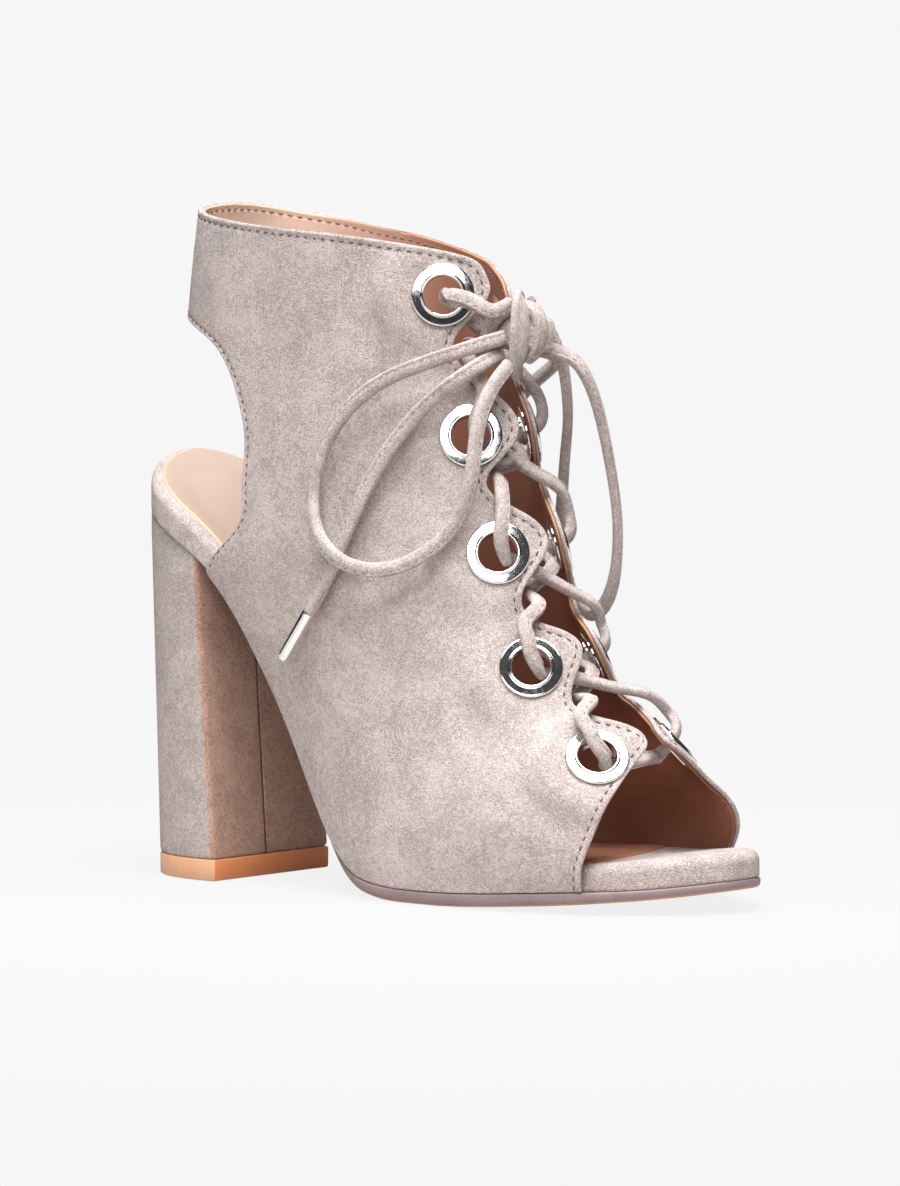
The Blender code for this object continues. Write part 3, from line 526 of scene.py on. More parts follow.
def top_edge(run, side):
    """Section and angle of the upper edge, the throat and then the collar, and the depth of its scallops."""
    lowest = len(EYELETS)
    number = np.clip(lowest - (lowest - 1) * run / THROAT_END, 1, lowest)
    throat_section, throat_angle, dip = throat_edge(number, side)
    section, angle = np.moveaxis(spline(COLLAR[:, 0], COLLAR[:, 1:], np.maximum(run, THROAT_END)), -1, 0)
    in_throat = run <= THROAT_END
    return np.where(in_throat, throat_section, section), np.where(in_throat, throat_angle, angle), dip


def upper_point(run, up, side):
    """Outer surface of the upper, run from toe to back and up from its lower to its upper edge."""
    run, up = np.broadcast_arrays(run, up)
    along, over = np.clip(1 - run / TAB_ROUND[0], 0, 1), np.clip(1 - (1 - up) / TAB_ROUND[1], 0, 1)
    run = run + TAB_ROUND[0] * along * (1 - np.sqrt(1 - over ** 2 / 2))
    up = up - TAB_ROUND[1] * over * (1 - np.sqrt(1 - along ** 2 / 2))
    low_section, low_angle = low_edge(run)
    top_section, top_angle, dip = top_edge(run, side)
    spread = up ** (SPREAD_START + (1 - SPREAD_START) * ease(*SPREAD_RUN, run))
    angle = low_angle + (top_angle - low_angle) * spread - dip * up ** 3
    lean = ease(0, 1, up)
    lean = lean + (up - lean) * ease(*LEAN_RUN, run)
    section = low_section + (top_section - low_section) * lean
    toe = np.clip(1 - run / TOE_RUN, 0, 1) ** 2
    outer_bow, inner_bow = TOE_BOW
    bow = (outer_bow if side < 0 else inner_bow) * np.sin(np.pi * np.clip(angle / BOW_ANGLE, 0, 1))
    bow = bow + (TOE_SKEW if side > 0 else 0)
    return flattened(section_point(section - toe * bow, angle, side), side)


class Wall:
    """Outer surface of the upper as a grid, from the outer toe edge round the back to the inner one."""

    def __init__(self):
        steps = np.array(EDGE_STEPS)
        run = np.concatenate([TOE_COLUMNS, np.linspace(TOE_COLUMNS[-1], 1, COLUMNS)[1:]])
        fine = (1 - np.linspace(1, 0, FINE_ROWS) ** 1.8) ** 2.2
        shares = np.linspace(0, 1, MIDDLE_ROWS + 2)[1:-1]
        halves = []
        for side in (-1, 1):
            line = upper_point(run[:, None], fine[None, :], side)
            along = np.cumsum(np.linalg.norm(np.diff(line, axis=1), axis=2), axis=1)
            along = np.column_stack([np.zeros(len(run)), along])
            total = along[:, -1:]
            low = np.concatenate([np.broadcast_to(steps, (len(run), len(steps))),
                                  steps[-1] + (total - 2 * steps[-1]) * shares,
                                  total - steps[::-1]], axis=1)
            up = np.stack([np.interp(r, a, fine) for r, a in zip(low, along)])
            points = upper_point(run[:, None], up, side)
            points[-1, :, 1] = 0.0
            toe = np.cumsum(np.linalg.norm(np.diff(points, axis=0), axis=2), axis=0)
            toe = np.concatenate([np.zeros((1, points.shape[1])), toe])
            rim, step = points[:, -1], np.diff(points[:, -1], axis=0)
            parts = [rim[:-1] + step * k / RIM_SPLIT for k in range(RIM_SPLIT)]
            rim = np.concatenate([*parts, rim[-1:]])
            top = np.stack([np.linalg.norm(column[:, None] - rim, axis=-1).min(-1) for column in points])
            halves.append((points, low, top, toe, np.broadcast_to(run[:, None], low.shape)))
        right, left = halves
        whole = [np.concatenate([a, b[-2::-1]]) for a, b in zip(right, left)]
        self.points, self.low, self.top, self.toe, self.run = whole
        rows, columns = np.gradient(self.points, axis=1), np.gradient(self.points, axis=0)
        out = unit(np.cross(rows, columns))
        beside = range(-STEADY_REACH, STEADY_REACH + 1)
        steady = np.median([np.roll(out, k, axis=0) for k in beside], axis=0)
        self.out = unit(out + (steady - out) * ease(*STEADY_RUN, self.run)[..., None])

    def inset(self):
        """Distance from the edge at which the seam beside the upper edge lies."""
        made = sizes()
        share = ease(*INSET_RUN, self.run)
        return in_mm(made.throat_inset + (made.collar_inset - made.throat_inset) * share)

    def seam(self):
        """Distance from the nearest seam, less than nothing between it and the edge."""
        upper = self.top - self.inset()
        toe = self.toe - in_mm(sizes().throat_inset)
        cut = np.where(self.run > CUT_START, self.low - in_mm(sizes().cut_inset), FAR)
        return np.minimum(np.minimum(upper, toe), cut)

    def edge(self):
        """Distance from the nearest open edge."""
        cut = np.where(self.run > CUT_START, self.low, FAR)
        return np.minimum(np.minimum(self.top, self.toe), cut)

    def rounding(self, radius, trim=0):
        """Share of its thickness that a wall with rounded edges has, its edges some grid lines further in."""
        share = 1.0
        last = -1 - trim
        middle = len(self.toe) // 2
        toe = np.where(np.arange(len(self.toe))[:, None] < middle, self.toe[trim], self.toe[last])
        starts = ((self.low, self.low[:, [trim]]), (self.top, self.top[:, [last]]), (self.toe, toe))
        for distance, start in starts:
            share = share * np.sqrt(1 - np.clip(1 - (distance - start) / radius, 0, 1) ** 2)
        return share

    def from_eyelets(self):
        """Distance from the axis of the nearest eyelet."""
        nearest = np.full(self.run.shape, FAR)
        for middle, out in eyelet_axes():
            height, radius = from_axis(self.points, middle, out)
            nearest = np.minimum(nearest, np.where(np.abs(height) < EYELET_FLAT, radius, FAR))
        return nearest

    def punched(self):
        """Faces left by the eyelet holes, and the moves that bring the hole's edge to its circle."""
        corners = self.points
        keep = np.ones((corners.shape[0] - 1, corners.shape[1] - 1), bool)
        move = np.zeros_like(corners)
        centre = (corners[:-1, :-1] + corners[1:, :-1] + corners[:-1, 1:] + corners[1:, 1:]) / 4
        for middle, out in eyelet_axes():
            height, radius = from_axis(centre, middle, out)
            hit = (radius < EYELET_CUT) & (np.abs(height) < EYELET_FLAT)
            keep &= ~hit
            cut, left = np.zeros(move.shape[:2], bool), np.zeros(move.shape[:2], bool)
            for columns in (slice(None, -1), slice(1, None)):
                for rows in (slice(None, -1), slice(1, None)):
                    cut[columns, rows] |= hit
                    left[columns, rows] |= ~hit
            ring = cut & left
            radial = corners[ring] - middle
            radial = radial - (radial @ out)[:, None] * out
            move[ring] = radial * (EYELET_CUT / np.linalg.norm(radial, axis=1) - 1)[:, None]
        return keep, move


@functools.lru_cache(maxsize=None)
def wall():
    return Wall()


@functools.lru_cache(maxsize=None)
def eyelet_axes():
    frames = [eyelet_frame(number, side) for side in (-1, 1) for number in range(1, len(EYELETS) + 1)]
    return tuple((point, out) for point, _, _, out in frames)


# Routes of the lace

def smooth_route(points, step):
    """Points at even steps on a smooth curve through a route."""
    points = np.asarray(points, float)
    chord = lengths(points)
    fine = spline(chord, points, np.linspace(0, chord[-1], 40 * len(points)))
    length = lengths(fine)
    even = np.linspace(0, length[-1], max(2, round(length[-1] / step)) + 1)
    return np.stack([np.interp(even, length, fine[:, k]) for k in range(3)], -1)


def at_eyelet(side, number, throat, up, out):
    """A point beside an eyelet, measured from its middle on the outer surface."""
    point, to_throat, upward, outward = eyelet_frame(number, side)
    return point + throat * to_throat + up * upward + out * outward


def throat_point(number, across, up, out):
    """A point in the throat above an eyelet, measured from halfway between its two valleys."""
    valleys = []
    for side in (-1, 1):
        section, tabs, dip = (float(v) for v in throat_edge(np.array(number - 0.5), side))
        valleys.append(surface_frame(section, tabs - dip, side))
    (right, _, _, right_out), (left, _, _, left_out) = valleys
    to_left = unit(left - right)
    outward = right_out + left_out
    outward = unit(outward - (outward @ to_left) * to_left)
    return (right + left) / 2 + across * to_left + up * np.cross(outward, to_left) + out * outward


def strand(side):
    """One end of the lace: out of an eyelet, over its own edge, across, and under the other edge.

    Where two strands cross, the one from the inner side lies on top.
    """
    route = []
    for number in range(len(EYELETS), 1, -1):
        rise, crossing = (OUTER_RISE, OUTER_CROSSING) if side < 0 else (INNER_RISE, INNER_CROSSING)
        route += [at_eyelet(side, number, *place) for place in rise]
        route += [throat_point(number, *place) for place in crossing]
        side = -side
        route.append(at_eyelet(side, number - 1, *UNDER_EDGE))
    route += [at_eyelet(side, 1, *place) for place in (OUTER_LAST if side < 0 else INNER_LAST)]
    x, y, z = KNOT_ENTRY
    route.append(KNOT + (x, side * y, z))
    return route


def lace_frames(route):
    """Direction along a lace, and that of its face, which turns away from the leg without a kink."""
    along = unit(np.gradient(route, axis=0))
    leg = smooth_route(LEG, 2.0)
    nearest = leg[np.argmin(np.linalg.norm(route[:, None] - leg[None], axis=2), axis=1)]
    hint = unit(route - nearest)
    hint = hint - (hint * along).sum(1)[:, None] * along
    face = np.empty_like(route)
    face[0] = unit(hint[0])
    for i in range(1, len(route)):
        face[i] = unit(face[i - 1] - (face[i - 1] @ along[i]) * along[i])
    side = np.cross(along, face)
    turn = (hint * face).sum(1) + 1j * (hint * side).sum(1)
    reach = np.arange(-TWIST_REACH, TWIST_REACH + 1)
    weights = np.exp(-(reach / TWIST_EASE) ** 2)
    padded = np.pad(turn * np.abs(turn), TWIST_REACH, mode="edge")
    angle = np.unwrap(np.angle(np.convolve(padded, weights, mode="valid")))[:, None]
    return along, np.cos(angle) * face + np.sin(angle) * side


def lace_profile(width, thickness):
    """Outline of the folded strip, face up, with the furrow of its seam near one edge."""
    turn = np.linspace(0, math.tau, LACE_AROUND, endpoint=False)
    c, s = np.cos(turn), np.sin(turn)
    across = width / 2 * np.sign(c) * np.abs(c) ** (2 / LACE_SQUARE)
    up = thickness / 2 * np.sign(s) * np.abs(s) ** (2 / LACE_SQUARE)
    furrow = np.exp(-((across - FURROW_PLACE * width) / (FURROW_HALF * width)) ** 2) * (s > 0)
    return np.stack([across, up - FURROW_DEPTH * thickness * furrow], -1)


def swept(route, profile):
    """Points and faces of a strip along a route, closed at both ends."""
    along, face = lace_frames(route)
    side = np.cross(along, face)
    rings = route[:, None] + profile[None, :, :1] * side[:, None] + profile[None, :, 1:] * face[:, None]
    count, around = rings.shape[:2]
    points = np.concatenate([rings.reshape(-1, 3), route[:1], route[-1:]])
    # Turned by one corner, so that each face splits along its other diagonal
    faces = [(b, c, d, a) for a, b, c, d in bands(count, around)]
    last = (count - 1) * around
    for j in range(around):
        k = (j + 1) % around
        faces.append((count * around, k, j))
        faces.append((count * around + 1, last + j, last + k))
    return points, faces


# Meshes

def bands(rows, around, closed=False):
    """Faces between rings of points, each ring counterclockwise from the next one's side."""
    faces = []
    for i in range(rows if closed else rows - 1):
        low, high = i * around, (i + 1) % rows * around
        for j in range(around):
            k = (j + 1) % around
            faces.append((low + j, low + k, high + k, high + j))
    return faces


def mesh_of(name, points, faces, sharp=50):
    """A smooth-shaded mesh from points in millimetres."""
    mesh = bpy.data.meshes.new(name)
    mesh.from_pydata(world(points).tolist(), [], [tuple(int(i) for i in f) for f in faces])
    mesh.shade_smooth()
    mesh.set_sharp_from_angle(angle=math.radians(sharp))
    return mesh


def point_values(mesh, name, values):
    """A number for each point, which a material reads."""
    mesh.attributes.new(name, "FLOAT", "POINT").data.foreach_set("value", values.astype(np.float32))


def second_look(mesh, wanted):
    """The second material on the faces wanted, and the first on the others."""
    for face in mesh.polygons:
        face.material_index = int(wanted(face))


def joined(parts):
    """Points and faces of several parts as one list of each."""
    points, faces, start = [], [], 0
    for part_points, part_faces in parts:
        points.append(part_points)
        faces += [tuple(i + start for i in face) for face in part_faces]
        start += len(part_points)
    return np.concatenate(points), faces


def shell(outer, inner, keep, merged):
    """Closed wall between two grids over the faces kept; merged points belong to both.

    Gives the points' places in the grid too.
    """
    columns, rows = outer.shape[:2]
    count = columns * rows
    index = np.arange(count).reshape(columns, rows)
    quads = np.stack([index[:-1, :-1], index[:-1, 1:], index[1:, 1:], index[1:, :-1]], -1)[keep]
    under = np.where(merged, index, index + count).ravel()
    faces = [tuple(q) for q in quads]
    faces += [tuple(under[i] for i in q[::-1]) for q in quads]
    edges = {(q[i], q[(i + 1) % 4]) for q in quads for i in range(4)}
    for a, b in edges:
        if (b, a) not in edges and under[a] != a:
            faces.append((b, a, under[a], under[b]))
    used = np.unique([i for f in faces for i in f])
    place = np.full(2 * count, -1)
    place[used] = np.arange(len(used))
    points = np.concatenate([outer.reshape(-1, 3), inner.reshape(-1, 3)])[used]
    return points, [tuple(place[i] for i in f) for f in faces], used % count


def turned(profile, surface, steps):
    """Points and faces of a closed profile, radius and height, turned round a surface's outward axis."""
    point, throat, _, out = surface
    across = np.cross(out, throat)
    turn = np.linspace(0, math.tau, steps, endpoint=False)
    spokes = np.cos(turn)[:, None] * throat + np.sin(turn)[:, None] * across
    profile = np.asarray(profile, float)
    points = point + profile[None, :, :1] * spokes[:, None] + profile[None, :, 1:] * out
    return points.reshape(-1, 3), bands(steps, len(profile), closed=True)


def stacked(rings):
    """Points and faces of rings on top of each other, each counterclockwise from above, closed with rungs."""
    count = len(rings[0])
    faces = bands(len(rings), count)
    rungs = ladder(count)
    faces += [rung[::-1] for rung in rungs]
    start = (len(rings) - 1) * count
    faces += [tuple(start + i for i in rung) for rung in rungs]
    return np.concatenate(rings), faces


def ladder(count):
    """Faces that close a ring with rungs from one side to the other, starting at its first point."""
    faces = [(0, 1, count - 1)]
    low, high = 1, count - 1
    while high - low > 2:
        faces.append((low, low + 1, high - 1, high))
        low, high = low + 1, high - 1
    if high - low == 2:
        faces.append((low, low + 1, high))
    return faces


def placed(name, data):
    """A new object in the scene."""
    made = bpy.data.objects.new(name, data)
    bpy.context.scene.collection.objects.link(made)
    return made


def piece(name, mesh, looks, nodes=()):
    """A finished object that rides on the shoe and stands for CAD nodes."""
    for look in looks:
        mesh.materials.append(look)
    made = placed(name, mesh)
    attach(made, "root")
    if nodes:
        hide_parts(*nodes)
    return made


# Materials

def feed(tree, node, inputs):
    """A node's inputs, each set to a value or linked."""
    for key, value in dict(inputs).items():
        if isinstance(value, bpy.types.NodeSocket):
            tree.links.new(value, node.inputs[key])
        else:
            node.inputs[key].default_value = value
    return node


def add(tree, kind, inputs=(), **settings):
    """A node with its settings, its values and its links."""
    made = tree.nodes.new(kind)
    for key, value in settings.items():
        setattr(made, key, value)
    return feed(tree, made, inputs)


def object_place(tree):
    return add(tree, "ShaderNodeTexCoord").outputs["Object"]


def noise(tree, place, scale, detail=2.0, roughness=0.5, distortion=0.0):
    made = add(tree, "ShaderNodeTexNoise", {"Vector": place, "Scale": scale, "Detail": detail,
                                            "Roughness": roughness, "Distortion": distortion})
    return made.outputs[0]


def math_node(tree, operation, first, second):
    return add(tree, "ShaderNodeMath", {0: first, 1: second}, operation=operation).outputs[0]


def weighted(tree, *terms):
    """Sum of values, each times its weight."""
    total = 0.0
    for value, weight in terms:
        step = add(tree, "ShaderNodeMath", {0: value, 1: weight, 2: total}, operation="MULTIPLY_ADD")
        total = step.outputs[0]
    return total


def times(tree, colour, tone):
    return add(tree, "ShaderNodeVectorMath", {0: colour, 1: tone}, operation="MULTIPLY").outputs[0]


def ranged(tree, value, low, high, to_low=0.0, to_high=1.0):
    made = add(tree, "ShaderNodeMapRange", {"Value": value, "From Min": low, "From Max": high,
                                            "To Min": to_low, "To Max": to_high})
    return made.outputs[0]


def blend(tree, share, first, second):
    return add(tree, "ShaderNodeMix", {0: share, 6: first, 7: second}, data_type="RGBA").outputs[2]


def group(name, inputs, outputs):
    """An empty shader node group with named sockets, its given values and its output node."""
    made = bpy.data.node_groups.new(name, "ShaderNodeTree")
    for label, kind, value in inputs:
        socket = made.interface.new_socket(label, in_out="INPUT", socket_type=kind)
        socket.default_value = value
    for label, kind in outputs:
        made.interface.new_socket(label, in_out="OUTPUT", socket_type=kind)
    return made, made.nodes.new("NodeGroupInput").outputs, made.nodes.new("NodeGroupOutput")


@functools.lru_cache(maxsize=None)
def nap_group():
    """Suede nap: brushed patches, short curled fibres and fine grain."""
    made, given, result = group(
        "suede_nap",
        (("Raised", "NodeSocketColor", (0.6, 0.5, 0.5, 1)),
         ("Brushed", "NodeSocketColor", (0.4, 0.4, 0.3, 1)),
         ("Patch", "NodeSocketFloat", 70.0),
         ("Fibre", "NodeSocketFloat", 1400.0)),
        (("Colour", "NodeSocketColor"), ("Height", "NodeSocketFloat")))
    place = object_place(made)
    patch = noise(made, place, given["Patch"], detail=3.0, roughness=0.55, distortion=0.8)
    finer = math_node(made, "MULTIPLY", given["Patch"], 4.5)
    mottle = noise(made, place, finer, detail=3.0, roughness=0.6, distortion=1.2)
    fibre = noise(made, place, given["Fibre"], detail=2.0, roughness=0.6, distortion=1.8)
    grain = noise(made, place, math_node(made, "MULTIPLY", given["Fibre"], 2.2), detail=1.0)
    nap = weighted(made, (patch, 0.16), (mottle, 0.13), (fibre, 0.41), (grain, 0.3))
    share = ranged(made, nap, 0.452, 0.548)
    feed(made, result, {"Colour": blend(made, share, given["Brushed"], given["Raised"]),
                        "Height": weighted(made, (fibre, 0.7), (grain, 0.3))})
    return made


@functools.lru_cache(maxsize=None)
def grain_group():
    """Smooth leather: fine pebbled grain with cloudy dye."""
    made, given, result = group(
        "leather_grain",
        (("Dye", "NodeSocketColor", (0.6, 0.4, 0.3, 1)),
         ("Depth", "NodeSocketFloat", 0.18),
         ("Pebble", "NodeSocketFloat", 1300.0)),
        (("Colour", "NodeSocketColor"), ("Height", "NodeSocketFloat"), ("Roughness", "NodeSocketFloat")))
    place = object_place(made)
    cloud = noise(made, place, 38.0, detail=4.0, roughness=0.6, distortion=0.5)
    cells = add(made, "ShaderNodeTexVoronoi", {"Vector": place, "Scale": given["Pebble"]},
                feature="DISTANCE_TO_EDGE").outputs[0]
    dark = times(made, given["Dye"], (0.74, 0.68, 0.62))
    share = math_node(made, "MULTIPLY", ranged(made, cloud, 0.36, 0.66, 1.0, 0.0), given["Depth"])
    feed(made, result, {"Colour": blend(made, share, given["Dye"], dark),
                        "Height": ranged(made, cells, 0.0, 0.32),
                        "Roughness": ranged(made, cloud, 0.3, 0.7, 0.5, 0.66)})
    return made


def shader_of(name):
    """A new material with its tree and its Principled shader."""
    made = bpy.data.materials.new(name)
    made.use_nodes = True
    return made, made.node_tree, made.node_tree.nodes["Principled BSDF"]


def solid(colour, lightness=1.0):
    return (*(v * lightness for v in colour), 1.0)


def bump(tree, shader, height, strength, distance):
    made = add(tree, "ShaderNodeBump", {"Strength": strength, "Distance": distance, "Height": height})
    feed(tree, shader, {"Normal": made.outputs[0]})


@functools.lru_cache(maxsize=None)
def suede(name, lightness=1.0, patch=70.0):
    """Napped suede with a soft sheen, darkened to a warm painted shade where its points say so."""
    made, tree, shader = shader_of(name)
    nap = add(tree, "ShaderNodeGroup", node_tree=nap_group())
    feed(tree, nap, {"Raised": solid(colours().suede, lightness),
                     "Brushed": solid(colours().suede_shade, lightness),
                     "Patch": patch})
    plain = nap.outputs["Colour"]
    # Painted shade: points marked on the heel's breast take a darker, warmer copy of the nap colour
    warm = add(tree, "ShaderNodeAttribute", attribute_name="warmth").outputs["Fac"]
    feed(tree, shader, {"Base Color": blend(tree, warm, plain, times(tree, plain, colours().breast)),
                        "Roughness": 0.95,
                        "Specular IOR Level": 0.15,
                        "Sheen Weight": 0.22,
                        "Sheen Roughness": 0.45,
                        "Sheen Tint": (0.95, 0.9, 0.88, 1.0)})
    bump(tree, shader, nap.outputs["Height"], strength=0.9, distance=0.001)
    return made


def grained_leather(name, dye_and_toe_shade, toe_shade_ends, clouds, edge_colour, edge_ends, pebbles):
    """Leather with its dye at the heel, darkening towards the toes into a painted shade, and a colour of its
    own along its cut edge.
    """
    made, tree, shader = shader_of(name)
    heel, toes = (solid(dye) for dye in dye_and_toe_shade)
    place = add(tree, "ShaderNodeSeparateXYZ", {0: object_place(tree)}).outputs["X"]
    # Painted shade: along X the colour darkens from the dye at the heel to the shade colour at the toes
    dye = blend(tree, ranged(tree, place, *toe_shade_ends), heel, toes)
    grain = add(tree, "ShaderNodeGroup", {"Dye": dye, "Depth": clouds}, node_tree=grain_group())
    edge = add(tree, "ShaderNodeAttribute", attribute_name="edge").outputs["Fac"]
    cut = ranged(tree, edge, *edge_ends, 1.0, 0.0)
    feed(tree, shader, {"Base Color": blend(tree, cut, grain.outputs["Colour"], solid(edge_colour)),
                        "Roughness": grain.outputs["Roughness"]})
    bump(tree, shader, grain.outputs["Height"], strength=pebbles, distance=0.0002)
    return made, shader


@functools.lru_cache(maxsize=None)
def lining_leather():
    """Lining leather with a tan cut edge, darkening into a painted shade towards the toes."""
    tints = colours()
    made, _ = grained_leather("lining_leather", dye_and_toe_shade=(tints.lining, tints.toe_painted_shade),
                              toe_shade_ends=(-0.09, -0.02), clouds=0.18, edge_colour=tints.lining_edge,
                              edge_ends=(0.25, 0.5), pebbles=0.12)
    return made


@functools.lru_cache(maxsize=None)
def sock_leather():
    """Pale satin leather of the sock, with a tan cut edge, darkening into a painted shade towards the toes.
    """
    tints = colours()
    made, shader = grained_leather("sock_leather", dye_and_toe_shade=(tints.sock, tints.toe_painted_shade),
                                   toe_shade_ends=(-0.04, 0.03), clouds=0.12, edge_colour=tints.sock_edge,
                                   edge_ends=(0.35, 0.7), pebbles=0.06)
    shader.inputs["Coat Weight"].default_value = 0.08
    shader.inputs["Coat Roughness"].default_value = 0.35
    return made


@functools.lru_cache(maxsize=None)
def polished_metal():
    """Nickel-plated eyelets and lace tips, with fine polishing marks in the gloss."""
    made, tree, shader = shader_of("polished_metal")
    place = object_place(tree)
    marks = noise(tree, place, 900.0, detail=3.0)
    clouds = ranged(tree, noise(tree, place, 260.0), 0.35, 0.65)
    metal = colours().metal
    feed(tree, shader, {"Base Color": blend(tree, clouds, solid(metal, 0.93), solid(metal)),
                        "Roughness": ranged(tree, marks, 0.3, 0.7, 0.05, 0.11),
                        "Metallic": 1.0})
    return made


@functools.lru_cache(maxsize=None)
def moulded(name, colour_name, speckle, roughness):
    """Moulded or painted sole material with a faint speckle."""
    made, tree, shader = shader_of(name)
    base = getattr(colours(), colour_name)
    place = object_place(tree)
    cloud = noise(tree, place, 90.0, detail=4.0, roughness=0.6)
    fine = noise(tree, place, 1600.0)
    share = ranged(tree, weighted(tree, (cloud, 0.6), (fine, 0.4)), 0.36, 0.62)
    feed(tree, shader, {"Base Color": blend(tree, share, solid(base, 1 - speckle), solid(base)),
                        "Roughness": ranged(tree, cloud, 0.3, 0.7, roughness - 0.06, roughness + 0.06)})
    bump(tree, shader, fine, strength=0.15, distance=0.0002)
    return made


@functools.lru_cache(maxsize=None)
def thread_look(name):
    """Twisted thread in fine random flecks, darker and lighter; the lighter ones are painted highlights on
    the strands' crowns.
    """
    made, tree, shader = shader_of(name)
    base = getattr(colours(), name)
    twist = ranged(tree, noise(tree, object_place(tree), 3200.0), 0.35, 0.65)
    # Painted highlights: random flecks up to half again lighter than the thread's colour
    feed(tree, shader, {"Base Color": blend(tree, twist, solid(base, 0.7), solid(base, 1.5)),
                        "Roughness": 0.8})
    return made


# Stage

def aim(item, target):
    """Turn an object's own -Z axis towards a point."""
    item.rotation_euler = (Vector(target) - item.location).to_track_quat("-Z", "Y").to_euler()


def softbox(name, place, width, height, power):
    """A soft area light that the camera doesn't see."""
    light = bpy.data.lights.new(name, "AREA")
    light.shape = "RECTANGLE"
    light.size = width
    light.size_y = height
    light.energy = power
    made = placed(name, light)
    made.location = place
    aim(made, LIGHT_TARGET)
    made.visible_camera = False


def grey(level):
    return (level, level, level, 1.0)


def surround(tree, height, floor, horizon, top):
    """Light of one kind from the room: its floor, its walls and its ceiling, as greys."""
    ramp = add(tree, "ShaderNodeValToRGB", {0: height})
    stops = ramp.color_ramp.elements
    stops[0].position = 0.485
    stops[0].color = grey(floor)
    stops[1].position = 0.52
    stops[1].color = grey(horizon)
    stops.new(0.9).color = grey(top)
    return add(tree, "ShaderNodeBackground", {"Color": ramp.outputs[0]}).outputs[0]


def studio_world():
    """A white surround for the camera, a dim room for the shoe, one with a bright floor for reflections."""
    room = bpy.data.worlds.new("studio")
    room.use_nodes = True
    tree = room.node_tree
    tree.nodes.clear()
    white = add(tree, "ShaderNodeBackground", {"Color": grey(SURROUND_WHITE)}).outputs[0]
    direction = add(tree, "ShaderNodeTexCoord").outputs["Generated"]
    height = ranged(tree, add(tree, "ShaderNodeSeparateXYZ", {0: direction}).outputs["Z"], -1.0, 1.0)
    rays = add(tree, "ShaderNodeLightPath").outputs
    dim = surround(tree, height, floor=0.06, horizon=0.03, top=0.04)
    mirrored = surround(tree, height, floor=0.8, horizon=0.03, top=0.06)
    lit = add(tree, "ShaderNodeMixShader", {0: rays["Is Glossy Ray"], 1: dim, 2: mirrored}).outputs[0]
    mixed = add(tree, "ShaderNodeMixShader", {0: rays["Is Camera Ray"], 1: lit, 2: white}).outputs[0]
    add(tree, "ShaderNodeOutputWorld", {"Surface": mixed})
    bpy.context.scene.world = room


def floor_look():
    """White floor, which fades into the white surround away from the shoe."""
    made = bpy.data.materials.new("studio_floor")
    made.use_nodes = True
    tree = made.node_tree
    tree.nodes.clear()
    away = add(tree, "ShaderNodeVectorMath", {0: object_place(tree)}, operation="LENGTH").outputs["Value"]
    seen = add(tree, "ShaderNodeLightPath").outputs["Is Camera Ray"]
    matte = add(tree, "ShaderNodeBsdfDiffuse", {"Color": grey(0.05)}).outputs[0]
    lit = add(tree, "ShaderNodeEmission", {"Color": grey(FLOOR_WHITE)}).outputs[0]
    shown = add(tree, "ShaderNodeAddShader", {0: matte, 1: lit}).outputs[0]
    bounce = add(tree, "ShaderNodeBsdfDiffuse", {"Color": (0.5, 0.48, 0.46, 1.0)}).outputs[0]
    surface = add(tree, "ShaderNodeMixShader", {0: seen, 1: bounce, 2: shown}).outputs[0]
    clear = add(tree, "ShaderNodeBsdfTransparent").outputs[0]
    below = add(tree, "ShaderNodeNewGeometry").outputs["Backfacing"]
    fade = math_node(tree, "MAXIMUM", ranged(tree, away, *FLOOR_FADE), below)
    faded = add(tree, "ShaderNodeMixShader", {0: fade, 1: surface, 2: clear}).outputs[0]
    add(tree, "ShaderNodeOutputMaterial", {"Surface": faded})
    return made


class SHOE_OT_stage(bpy.types.Operator):
    """Camera, floor, surround and soft lights"""
    bl_idname = "shoe.stage"
    bl_label = "Stage"

    def execute(self, context):
        scene = context.scene
        scene.view_settings.view_transform = "Standard"
        lens = bpy.data.cameras.new("camera")
        lens.lens = LENS
        camera = placed("camera", lens)
        turn = math.radians(CAMERA_TURN)
        x, y, _ = CAMERA_TARGET
        camera.location = (CAMERA_DISTANCE * math.sin(turn) + x, -CAMERA_DISTANCE * math.cos(turn) + y,
                           CAMERA_HEIGHT)
        aim(camera, CAMERA_TARGET)
        scene.camera = camera
        studio_world()
        mesh = bpy.data.meshes.new("floor")
        corners = [(FLOOR_REACH * a, FLOOR_REACH * b, FLOOR) for a, b in ((-1, -1), (1, -1), (1, 1), (-1, 1))]
        mesh.from_pydata(corners, [], [(0, 1, 2, 3)])
        mesh.materials.append(floor_look())
        floor = placed("floor", mesh)
        for light in LIGHTS:
            softbox(*light)
        return {"FINISHED"}


# Lace pieces

def strip():
    return lace_profile(in_mm(sizes().lace_width), in_mm(sizes().lace_thickness))


def lace_look():
    return suede("lace_suede", lightness=1.06, patch=90.0)


def furrow_line(route):
    """Line of the stitches in the furrow of a lace."""
    along, face = lace_frames(route)
    side = np.cross(along, face)
    width, thickness = in_mm(sizes().lace_width), in_mm(sizes().lace_thickness)
    return route + FURROW_PLACE * width * side + (0.5 - FURROW_DEPTH) * thickness * face


def lace_routes():
    """Each run of lace by name, as even points."""
    bar = [at_eyelet(side, len(EYELETS), *place) for side, *place in BAR]
    runs = {"crossing_first": bar + strand(-1), "crossing_second": strand(1),
            "lace_loop_right": LOOP_RIGHT, "lace_loop_left": LOOP_LEFT,
            "lace_end_right": END_RIGHT, "lace_end_left": END_LEFT}
    return {name: smooth_route(route, LACE_STEP) for name, route in runs.items()}


